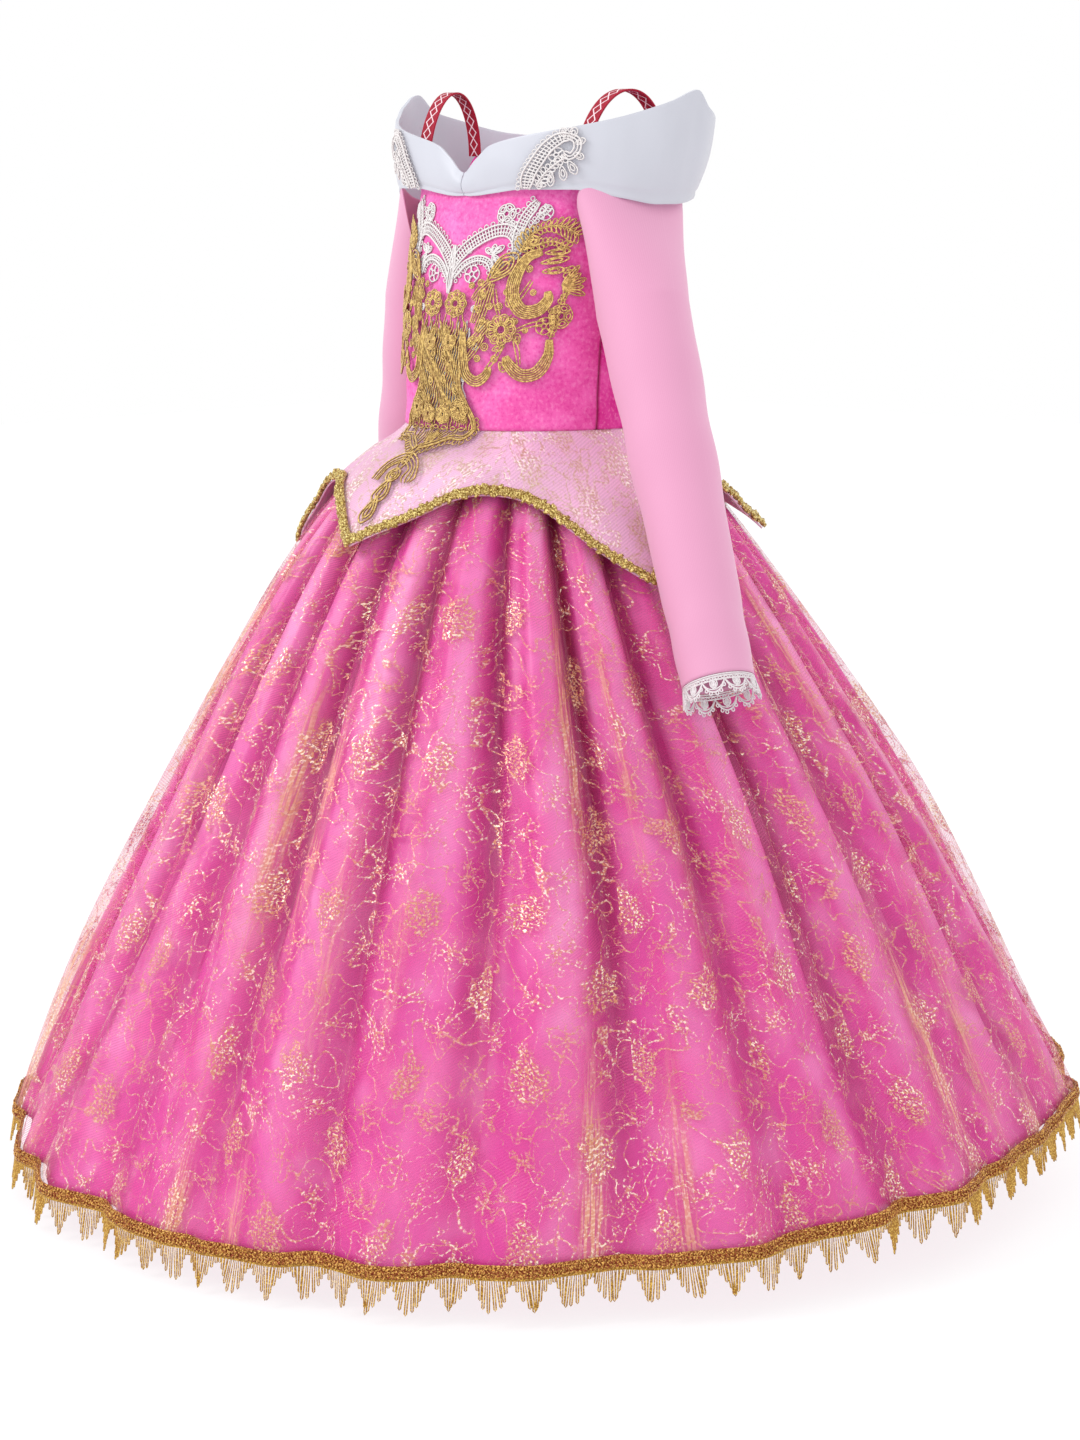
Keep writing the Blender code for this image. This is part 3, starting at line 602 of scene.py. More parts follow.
def velvetLook():
    cloth = Cloth("velvet", Roughness=0.85, Sheen_Weight=0.35, Sheen_Roughness=0.35, Specular_IOR_Level=0.15)
    cloth.set(Sheen_Tint=(1.0, 0.45, 0.75))
    place = cloth.place()
    pile = cloth.noise(place, 900.0, 3.0, 0.7)
    sheenPatch = cloth.noise(place, 30.0, 3.0, 0.6)
    crushSheen = cloth.noise(place, 380.0, 2.0, 0.6)
    # Painted sheen: large soft patches, lighter and darker, across the velvet.
    tone = cloth.mix(sheenPatch.ramp(0.35, 0.68), (0.74, 0.020, 0.31), (0.92, 0.11, 0.49))
    # Painted sheen: the front panel turns lighter where this value is high.
    tone = cloth.mix(cloth.shade("nap") * (sheenPatch * 0.5 + 0.35), tone, (0.96, 0.26, 0.58))
    # Crushed pile, with its sheen painted in as lighter and darker mottling.
    tone = cloth.mix(crushSheen.ramp(0.5, 0.7) * 0.35, tone, (0.97, 0.36, 0.66))
    tone = cloth.mix((1.0 - crushSheen).ramp(0.52, 0.7) * 0.45, tone, (0.70, 0.02, 0.28))
    # Painted shade along the seam grooves, together with the seam's darker thread.
    cloth.set(Base_Color=cloth.mix(cloth.shade("seam"), tone, (0.34, 0.002, 0.08)))
    cloth.bump(pile, 0.35 * mm, 0.6)
    return cloth.material


def sleeveLook():
    cloth = Cloth("sheerKnit", Roughness=0.6, Sheen_Weight=0.3, Specular_IOR_Level=0.25)
    u, v = cloth.flat()
    rib = (u * (tau / 1.1)).sin() * 0.5 + 0.5
    fine = cloth.noise(cloth.vector(u * 2, v * 1.2), 1.0, 2.0)
    cloth.set(Base_Color=cloth.mix(rib * 0.25 + fine * 0.6, (0.68, 0.29, 0.46), (0.76, 0.37, 0.55)))
    cloth.bump(rib * 0.6 + fine * 0.4, 0.04 * mm, 0.4)
    return cloth.material


def braidLook(name, light, dark, metal=0.4):
    # Metallic plait: slanted strands, dark, with light glints painted into the colour as specks.
    cloth = Cloth(name, Roughness=0.38, Metallic=metal)
    place = cloth.place()
    cells = cloth.node("ShaderNodeTexVoronoi", Vector=place, Scale=620.0)
    spark = cloth.noise(place, 900.0, 1.0).ramp(0.42, 0.66)
    # Painted glints: light specks over the strands' dark colour.
    cloth.set(Base_Color=cloth.mix(spark, dark, light))
    cloth.bump(cells * -1 + spark * 0.4, 0.5 * mm, 0.9)
    return cloth.material


def cordLook(name, light, dark, grain, metal=0.0):
    # Lace cord: closely wound thread, with painted shade down each cord's sides and only its top in the full
    # colour.
    cloth = Cloth(name, Roughness=0.6, Metallic=metal, Sheen_Weight=0.2)
    place = cloth.place()
    wound = cloth.noise(place, 1100.0, 2.0, 0.6)
    patch = cloth.noise(place, 60.0, 2.0)
    beads = cloth.noise(place, 480.0, 2.0, 0.6).ramp(0.40, 0.60)
    shaded = tuple(c * 0.7 for c in light)
    tone = cloth.mix(wound * 0.3 + patch * 0.3, light, shaded)
    tone = cloth.mix(beads * grain, tone, dark)
    # Painted shade: dark on the cord's sides, the wound colour only on its top.
    cloth.set(Base_Color=cloth.mix(cloth.shade("top").ramp(-0.1, 0.95), dark, tone))
    cloth.bump(wound - beads * 0.6, 0.4 * mm, 0.8)
    return cloth.material


def strapLook():
    # Red woven braid with a pale zig-zag and a dark edge.
    cloth = Cloth("strapBraid", Roughness=0.6, Specular_IOR_Level=0.3)
    u, v = cloth.flat()
    wave = ((v / 9.0).fraction() - 0.5).absolute() * 7.2
    line = (u.absolute() - wave).absolute()
    pale = (0.6 - line).ramp(-0.1, 0.2)
    border = (u.absolute() - 4.6).ramp(0.0, 0.4)
    grain = cloth.noise(cloth.vector(u * 2, v * 2), 1.0, 2.0)
    red = cloth.mix(grain, (0.24, 0.002, 0.012), (0.42, 0.007, 0.035))
    body = cloth.mix(pale, red, (0.92, 0.72, 0.77))
    cloth.set(Base_Color=cloth.mix(border, body, (0.40, 0.004, 0.03)))
    cloth.bump(grain + pale * 0.5, 0.3 * mm, 0.6)
    return cloth.material


looks = {
    "velvet": velvetLook(),
    "collar": satinLook("collarSatin", (0.60, 0.61, 0.68), 0.42, 0.1),
    # Skirt satin pairs a painted shade colour for the pleat folds with a painted highlight colour for the
    # ridges.
    "satin": satinLook("skirtSatin", (0.78, 0.055, 0.38), 0.40, 0.08,
        ((0.20, 0.0, 0.012), (0.92, 0.36, 0.66))),
    "net": netLook("skirtNet", (0.62, 0.06, 0.26), netFlower["skirtRepeat"], 0.11),
    "peplum": netLook("peplumLace", (0.66, 0.37, 0.53), netFlower["peplumRepeat"]),
    "sleeve": sleeveLook(),
    "braid": braidLook("goldBraid", (0.95, 0.78, 0.28), (0.28, 0.15, 0.02), 0.2),
    "hem": braidLook("hemBraid", (0.86, 0.50, 0.12), (0.24, 0.035, 0.004)),
    "fringe": braidLook("fringeThread", (0.88, 0.58, 0.12), (0.42, 0.19, 0.02), 0.15),
    "gold": cordLook("goldGuipure", (0.92, 0.64, 0.20), (0.20, 0.07, 0.010), 0.65, 0.1),
    "white": cordLook("whiteGuipure", (0.93, 0.90, 0.89), (0.52, 0.44, 0.45), 0.25),
    "cuff": cordLook("cuffLace", (0.95, 0.93, 0.94), (0.76, 0.70, 0.72), 0.15),
    "strap": strapLook(),
}
print("looks made")


def keep(obj, nodes):
    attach(obj, "root")
    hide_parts(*nodes)
    return obj


# Bodice

bodice = {
    "sideSeam": 77.0, "seamGap": 0.1, "seamDip": 0.9 * mm, "wall": 1.5 * mm, "columns": 120, "rows": 60,
    "dimple": 0.5 * mm,
}


def makeBodice():
    seam, gap = bodice["sideSeam"], bodice["seamGap"]
    panels = (
        ("bodiceFront", "bodice_front", -seam + gap, seam - gap),
        ("bodiceBackLeft", "bodice_back_left", seam + gap, 180 - gap),
        ("bodiceBackRight", "bodice_back_right", 180 + gap, 360 - seam - gap),
    )
    for name, node, start, end in panels:
        angles = np.linspace(start, end, round(bodice["columns"] * (end - start) / 154) + 2)
        share = np.linspace(0, 1, bodice["rows"])[:, None]
        top = smooth(folded(angles), form["neck"], 1)
        z = top + (waistZ - top) * share
        points = bodicePoint(angles[None, :] + 0 * share, z)
        edge = np.minimum(angles - start, end - angles)[None, :]
        inward = bodice["seamDip"] * bell(edge, 0, 1.6)
        ripple = bodice["dimple"] * np.sin(z * 190 + np.radians(angles) * 5) * bell(z, waistZ, 0.03)
        points = points + normalsOf(points) * (ripple - inward)[..., None]
        uv = stack(np.radians(angles)[None, :] * 94 + 0 * z, (top - z) * 1000, 0 * z)[..., :2]
        # Painted sheen: highest at the centre front, low on the side and back panels.
        nap = np.clip(1.15 - np.abs(angles) / 90, 0.1, 1)[None, :] if name == "bodiceFront" else 0.1
        # Painted shade and darker thread along the side seams.
        seamShade = 0.9 * bell(edge, 0, 0.55) + 0 * z
        obj = giveWall(gridObject(name, points, uv, looks["velvet"], seam=seamShade, nap=0 * z + nap),
            bodice["wall"])
        keep(obj, [node])


# Collar

collar = {
    "wall": 2.4 * mm, "columns": 150, "rows": 26, "crease": 0.8 * mm, "seamDip": 1.1 * mm, "hemDip": 0.9 * mm,
}


def makeCollar():
    for name, node, side in (("collarLeft", "collar_left", 1), ("collarRight", "collar_right", -1)):
        angles = np.linspace(0.12, 179.88, collar["columns"]) * side
        angles = angles[::side]
        share = np.linspace(1, 0, collar["rows"])[:, None]
        grid = angles[None, :] + 0 * share
        points = collarPoint(grid, share + 0 * grid)
        radians = np.radians(grid)
        fold = np.sin(radians * 6.0 * side + share * 3.1) * 0.5 + np.sin(radians * 17 + share * 5) * 0.3
        fold = fold * np.sin(math.pi * share) * collar["crease"]
        seam = -collar["seamDip"] * bell(folded(grid), 0, 2.2)
        stitched = -collar["hemDip"] * bell(share, 0.09, 0.025)
        points = points + normalsOf(points) * (fold + seam + stitched)[..., None]
        height = np.linalg.norm(points[0] - points[-1], axis=-1)[None, :] * 1000
        uv = stack(radians * 130, (1 - share) * height, 0 * grid)[..., :2]
        obj = gridObject(name, points, uv, looks["collar"])
        keep(giveWall(obj, collar["wall"], bevel=0.9 * mm), [node])


# Straps

strap = {"width": 12 * mm, "wall": 1.4 * mm, "steps": 60, "frontAngle": 54.0, "backAngle": 108.0}


def makeStraps():
    ends = []
    for angle in (strap["frontAngle"], strap["backAngle"]):
        z = smooth(angle, form["neck"], 1)
        ends.append(bodicePoint(np.array(angle), z))
    front, back = ends
    height = -(front[2] + back[2]) / 2
    for name, node, mirror in (("strapLeft", "strap_left", 1), ("strapRight", "strap_right", -1)):
        turn = np.linspace(0, math.pi, strap["steps"])[::-1, None]
        middle = front + (back - front) * (1 - np.cos(turn)) / 2 + np.array((0, 0, height)) * np.sin(turn)
        across = np.linspace(-0.5, 0.5, 7)[None, :] * strap["width"]
        points = middle[:, None] + stack(across, 0, 0 * across)
        points = points * (mirror, 1, 1)
        points = points[:, ::mirror]
        along = np.concatenate(([0], np.cumsum(np.linalg.norm(np.diff(middle, axis=0), axis=1)))) * 1000
        uv = stack(across * 1000, along[:, None], 0 * across)[..., :2]
        obj = gridObject(name, points, uv, looks["strap"])
        keep(giveWall(obj, strap["wall"], bevel=0.3 * mm), [node])


# Sleeves

sleeve = {"wall": 0.8 * mm, "columns": 96, "rows": 150, "wrinkle": 0.91 * mm, "length": 362, "radius": 26}


def makeSleeves():
    for side in ("left", "right"):
        turns = np.linspace(0, tau, sleeve["columns"], endpoint=False)
        alongs = np.linspace(0, 1, sleeve["rows"])
        points = sleevePoints(side, turns, alongs)
        a, t = alongs[:, None], turns[None, :]
        folds = np.sin(a * 30 + 1.6 * np.sin(t + 0.6)) * bell(a, 0.5, 0.16)
        folds = folds + 0.7 * np.sin(a * 19 + 2.2 * np.cos(t - 1.0)) * bell(a, 0.16, 0.12)
        folds = folds + 0.6 * np.sin(a * 46 + 1.3 * np.sin(t * 2)) * bell(a, 0.9, 0.08)
        ends = np.clip(np.minimum(a / 0.04, (1 - a) / 0.03), 0, 1)
        points = points + normalsOf(points, True) * (folds * ends * sleeve["wrinkle"])[..., None]
        uv = stack(t * sleeve["radius"] + 0 * a, a * sleeve["length"] + 0 * t, 0 * a * t)[..., :2]
        obj = gridObject("sleeve" + side.title(), points, uv, looks["sleeve"], closed=True)
        keep(giveWall(obj, sleeve["wall"]), ["sleeve_" + side])


# Skirt: satin under a see-through net

skirt = {
    "top": -0.2368, "columnsPerPleat": 16, "rows": 74, "wall": 1.0 * mm, "netGap": 2.0 * mm,
    "netFullness": 0.72,
    "hemWidth": 102.0, "ridgeAt": 0.38,
}


def pleatUv(degrees, z, columnsPerPleat):
    # Each pleat shows a strip of the flat cloth; the rest is hidden in the fold beside it.
    down, across = degrees.shape
    pleat = np.floor((np.arange(across) + 0.5) / columnsPerPleat + skirt["ridgeAt"])
    ridge = (pleat - skirt["ridgeAt"] + 0.5) * pleatAngle
    radius = skirtValue(z, 1)
    path = np.concatenate((np.zeros((1,)), np.cumsum(np.hypot(np.diff(z[:, 0]), np.diff(radius[:, 0])))))
    corners = []
    for rowStep, columnStep in ((0, 0), (1, 0), (1, 1), (0, 1)):
        angle = (np.arange(across) + columnStep) * 360 / across
        u = pleat * skirt["hemWidth"] + np.radians(angle - ridge) * radius[rowStep:rowStep + down - 1,
            :1] * 1000
        v = np.broadcast_to(path[rowStep:rowStep + down - 1, None] * 1000, u.shape)
        corners.append(np.stack((u, v), -1))
    return np.stack(corners, 2).reshape(-1, 2)


def makeSkirt():
    across = skirt["columnsPerPleat"] * pleatCount
    degrees = np.linspace(0, 360, across, endpoint=False)[None, :]
    z = np.linspace(skirt["top"], hemZ, skirt["rows"])[:, None]
    grid, level = np.broadcast_arrays(degrees, z)
    uv = pleatUv(grid, np.array(level), skirt["columnsPerPleat"])
    satin = skirtPoint(grid, level)
    fall = np.clip((waistZ - level) / (waistZ - hemZ), 0, 1)
    number, t = pleatPlace(grid)
    # Painted shade: 1 in the fold behind each pleat, fading down the skirt; both skirt finishes darken by it.
    fold = bell(t, 0.55, 0.13) * np.clip(1.3 - fall * 1.1, 0.12, 1) * (0.75 + 0.25 * np.sin(number * 2.9))
    # Painted highlight along each pleat's ridge, weaker towards the hem.
    ridge = bell(t, 0.13, 0.17) * (0.7 + 0.3 * np.sin(level * 21 + number * 2.3)) * np.clip(1.25 - fall,
        0.3, 1)
    obj = gridObject("skirtSatin", satin, None, looks["satin"], True, uv, fold=fold, ridge=ridge)
    keep(giveWall(obj, skirt["wall"]), ["skirt_satin"])
    lift = skirtValue(level, 4) * (1 + np.sin(np.radians(grid) * 41))
    down = np.clip((waistZ - level) / 0.5, 0, 1)
    puff = skirt["netGap"] + lift + down * 1.5 * mm * (1 + np.sin(np.radians(grid) * 23 + 8 * down))
    puff = puff * np.clip((level - hemZ) / 0.02 + 0.6, 0.6, 1)
    reach = np.linalg.norm((skirtPoint(grid, level, skirt["netFullness"]) - satin)[..., :2], axis=-1)
    out = outwards(satin - stack(0 * grid, skirtValue(level, 3), 0 * grid))
    points = satin + out * (reach + puff)[..., None]
    crease = bell(t, 0.33, 0.09) + 0.8 * bell(t, 0.90, 0.08)
    crease = crease * 1.2 * (0.55 + 0.45 * np.sin(number * 2.1 + 1)) * np.clip(fall * 4, 0, 1)
    crease = crease * (0.6 + 0.4 * np.sin(level * 23 + number * 1.7))
    obj = gridObject("skirtNet", points, None, looks["net"], True, uv, crease=crease, fold=fold)
    keep(obj, ["skirt_lace"])
    return points


# Peplum

peplum = {
    "columns": 400, "rows": 40, "wall": 1.2 * mm, "wave": 1.3 * mm, "braidHeight": 5 * mm, "braidRows": 6,
    "knotSpacing": 3.3 * mm, "knot": 6.4 * mm, "knotThick": 3.4 * mm,
}


def makePeplum():
    angles = np.linspace(0, 360, peplum["columns"], endpoint=False)[None, :]
    share = np.linspace(0, 1, peplum["rows"])[:, None]
    top = waistZ - 0.0003
    z = top + (peplumEdge(angles) - top) * share
    grid = angles + 0 * z
    points = peplumPoint(grid, z)
    wave = peplum["wave"] * np.sin(np.radians(grid) * 15 + 1) * share**1.5
    points = points + normalsOf(points, True) * (wave + 0.3 * mm)[..., None]
    radius = np.linalg.norm(points[..., :2], axis=-1)
    sector = np.round(grid / peplumAngle)
    corner = np.radians(grid - sector * peplumAngle) * radius * 1000 + sector * 150
    uv = np.stack((corner, np.broadcast_to((top - z) * 1150, grid.shape)), -1)
    obj = gridObject("peplumCloth", points, uv, looks["peplum"], True)
    keep(giveWall(obj, peplum["wall"]), ["peplum"])
    upwards = np.linspace(1, 0, peplum["braidRows"])[:, None]
    rise = upwards * peplum["braidHeight"] - 0.3 * mm
    bandZ = peplumEdge(angles) + rise
    band = peplumPoint(angles + 0 * bandZ, bandZ)
    crown = wave[-1:] + 1.6 * mm + 0.6 * mm * np.sin(math.pi * upwards)
    band = band + normalsOf(band, True) * crown[..., None]
    uv = stack(angles * 3 + 0 * rise, -rise * 1000 + 0 * angles, 0 * band[..., 0])[..., :2]
    strip = plain(giveWall(gridObject("peplumBraid", band, uv, looks["braid"], True), 1.2 * mm, 1.0))
    keep(joined("peplumBraid", [strip] + makePeplumBraid(band)), ["peplum_braid"])


# Guipure lace: cords drawn in millimetres, then laid on the dress

lace = {
    "radius": 0.094, "step": 1.15, "cord": 0.55, "gap": 0.5, "goldLift": 2.4, "collarHeight": 43.0,
    "collarLift": 1.2, "collarShift": 11.0, "sides": 6,
}


def curve(points, closed=False, step=None):
    # Smooth line through a few points, with even steps.
    points = np.asarray(points, float)
    if closed:
        wide = np.concatenate((points[-1:], points, points[:2]))
    else:
        wide = np.concatenate((2 * points[:1] - points[1:2], points, 2 * points[-1:] - points[-2:-1]))
    a, b, c, d = wide[:-3, None], wide[1:-2, None], wide[2:-1, None], wide[3:, None]
    t = np.linspace(0, 1, 8, endpoint=False)[None, :, None]
    line = b + (c - a) * t / 2 + (2 * a - 5 * b + 4 * c - d) * t**2 / 2 + (3 * b - a - 3 * c + d) * t**3 / 2
    line = np.concatenate((line.reshape(-1, 2), points[:1] if closed else points[-1:]))
    length = np.concatenate(([0], np.cumsum(np.linalg.norm(np.diff(line, axis=0), axis=1))))
    at = np.linspace(0, length[-1], max(5, round(length[-1] / (step or lace["step"]))) + 1)
    even = np.stack([np.interp(at, length, line[:, k]) for k in (0, 1)], -1)
    return even[:-1] if closed else even


def sideways(line):
    ahead = np.gradient(line, axis=0)
    ahead /= np.maximum(np.linalg.norm(ahead, axis=1, keepdims=True), 1e-9)
    return np.stack((-ahead[:, 1], ahead[:, 0]), -1)


def heading(degrees):
    turn = math.radians(degrees)
    return np.array((math.cos(turn), math.sin(turn)))


class Lace:
    # Cords of one lace piece, laid on a surface of the dress and mirrored across its middle.
    def __init__(self, surface, lift=0.0, mirrored=True):
        self.surface, self.lift, self.mirrored = surface, lift, mirrored
        self.paths, self.radii, self.closed = [], [], []

    def cord(self, line, radius=None, height=0.0, closed=False):
        radius = radius or lace["cord"]
        for side in (1, -1) if self.mirrored else (1,):
            flat = line * (side, 1)
            up = (self.lift + lace["gap"] + np.max(radius) + height) * mm
            self.paths.append(self.lay(flat, up))
            self.radii.append(radius * mm)
            self.closed.append(closed)

    def lay(self, flat, up):
        degrees, z = np.degrees(flat[:, 0] * mm / lace["radius"]), flat[:, 1] * mm
        point = self.surface(degrees, z)
        turn = self.surface(degrees + 0.3, z) - self.surface(degrees - 0.3, z)
        fall = self.surface(degrees, z - 0.5 * mm) - self.surface(degrees, z + 0.5 * mm)
        normal = np.cross(fall, turn)
        normal /= np.linalg.norm(normal, axis=1, keepdims=True)
        return point + normal * up, normal

    def scroll(self, spine, width, ends=(0.5, 0.7), fill=1.25):
        # Padded scroll: close cords side by side between two raised edges.
        line = curve(spine)
        share = np.linspace(0, 1, len(line))
        half = width / 2 * np.interp(share, (0, 0.35, 0.8, 0.93, 1),
            (ends[0], 1, 0.95, ends[1] * 1.1, ends[1] * 0.6))
        side = sideways(line)
        count = max(3, round(width / fill))
        for place in np.linspace(-1, 1, count):
            edge = abs(place) > 0.99
            self.cord(line + side * (half * place)[:, None], 0.72 if edge else 0.62, 0.35 if edge else 0.1)

    def petal(self, root, tip, width, rings=(1.0,), radius=None, rib=False):
        root, tip = np.asarray(root, float), np.asarray(tip, float)
        along = tip - root
        across = np.array((-along[1], along[0])) / np.linalg.norm(along) * width
        for scale in rings:
            ring = [
                root + along * (0.5 + (share - 0.5) * scale) + across * wide * scale
                for share, wide in ((0, 0), (0.3, 0.38), (0.72, 0.5), (1, 0), (0.72, -0.5), (0.3, -0.38))
            ]
            self.cord(curve(ring, True), radius, closed=True)
        if rib:
            self.cord(curve((root, root + along * 0.5, root + along * 0.88)), radius, 0.2)

    def daisy(self, centre, radius, petals, rings=(1.0,), rib=False):
        for k in range(petals):
            way = heading(360 * k / petals)
            self.petal(
                centre + way * radius * 0.26, centre + way * radius,
                1.75 * radius * math.sin(math.pi / petals),
                rings, rib=rib,
            )
        self.ring(centre, radius * 0.3, 0.3)

    def ring(self, centre, radius, height=0.0, cord=None):
        turns = np.linspace(0, tau, 5 + round(radius * 2), endpoint=False)
        line = np.asarray(centre) + radius * np.stack((np.cos(turns), np.sin(turns)), -1)
        self.cord(line, cord, height, closed=True)

    def laurel(self, spine, length, spacing, lean=0.6, width=2.8, sides=(1, -1)):
        # Stem with narrow looped leaves along its sides.
        line = curve(spine)
        self.cord(line, 0.6, 0.3)
        side = sideways(line)
        ahead = np.stack((side[:, 1], -side[:, 0]), -1)
        every = max(1, round(spacing / lace["step"]))
        for k in range(1, len(line) - 1, every):
            grown = length * (0.75 + 0.25 * math.sin(k * 1.9))
            for hand in sides:
                tip = line[k] + (side[k] * hand + ahead[k] * lean) * grown
                self.petal(line[k], tip, width)

    def leaf(self, x, z, turn, reach, width):
        # Looped leaf from a point towards an angle.
        root = np.array((x, z), float)
        self.petal(root, root + heading(turn) * reach, width, (1.0, 0.5))

    def fingers(self, root, reach, start, end, count, width):
        root = np.asarray(root, float)
        for k, turn in enumerate(np.linspace(start, end, count)):
            way = heading(turn) * reach
            self.petal(root + way * 0.12, root + way * (1 - 0.12 * (k % 2)), width, (1.0,), 0.6, rib=True)

    def ladder(self, spine, width, rung=2.3, rows=3):
        # Open band: cords along it, and short rungs that leave round holes.
        line = curve(spine)
        share = np.linspace(0, 1, len(line))
        half = width / 2 * np.interp(share, (0, 0.15, 0.85, 1), (0.6, 1, 1, 0.55))
        side = sideways(line)
        for place in np.linspace(-1, 1, rows + 1):
            edge = abs(place) > 0.99
            self.cord(line + side * (half * place)[:, None], 0.75 if edge else 0.5, 0.3 if edge else 0.0)
        every = max(1, round(rung / lace["step"]))
        for k in range(1, len(line) - 1, every):
            ends = line[k] - side[k] * half[k], line[k] + side[k] * half[k]
            self.cord(curve(ends, step=2.4), 0.62)
        return line

    def picots(self, line, offset, spacing, radius):
        side = sideways(line)
        for k in range(0, len(line), max(1, round(spacing / lace["step"]))):
            self.ring(line[k] + side[k] * offset, radius, 0.0, 0.45)

    def bar(self, start, end, cords=2, spread=2.0, sway=0.8):
        start, end = np.asarray(start, float), np.asarray(end, float)
        across = np.array((start[1] - end[1], end[0] - start[0])) / np.linalg.norm(end - start)
        for place in np.linspace(-0.5, 0.5, cords):
            middle = (start + end) / 2 + across * (place * spread * 1.5 + sway)
            self.cord(curve((start + across * place * spread, middle, end + across * place * spread)))

    def made(self, name, material):
        mesh = tubeMesh(self.paths, self.radii, lace["sides"], self.closed)
        return meshObject(name, mesh, material)


def onCollar(degrees, up):
    degrees = degrees - math.degrees(lace["collarShift"] * mm / lace["radius"])
    return collarPoint(degrees, np.clip(up * 1000 / lace["collarHeight"], 0, 1))


def bodyThreads(work, count, start, end, shift, radius):
    # Threads that run down the middle, spread into the shell at the waist and stop at its eyelets.
    eyelets = [(x, -236 - abs(x) * 0.05) for x in (-24, -15.5, -7.5, 0.5, 8.5, 16.5, 24)]
    for k, place in enumerate(np.linspace(-1, 1, count)):
        low = end + 12 * abs(place) ** 1.7 + 1.5 * math.sin(k * 2.4)
        z = np.arange(start - 5 * (k % 3), low, -lace["step"])
        half = np.interp(-z, (146, 165, 185, 205, 218, 230, 240, 252), (20, 23, 21, 20, 24, 30.5, 29, 12))
        sway = 1.5 * np.sin(z * 0.17 + 6 * place) * (1 - place**2) + 0.5 * np.sin(z * 0.6 + k)
        x = half * place + shift + sway
        line = np.stack((x, z), -1)
        clear = np.min([np.hypot(x - ex, (z - ez) * 0.8) for ex, ez in eyelets], axis=0) > 3.0
        cuts = np.flatnonzero(np.diff(clear.astype(int))) + 1
        for part in np.split(np.arange(len(z)), cuts):
            if len(part) > 3 and clear[part[0]]:
                work.cord(line[part], radius, 0.9 * math.sin(k * 2.9) ** 2)
    return eyelets


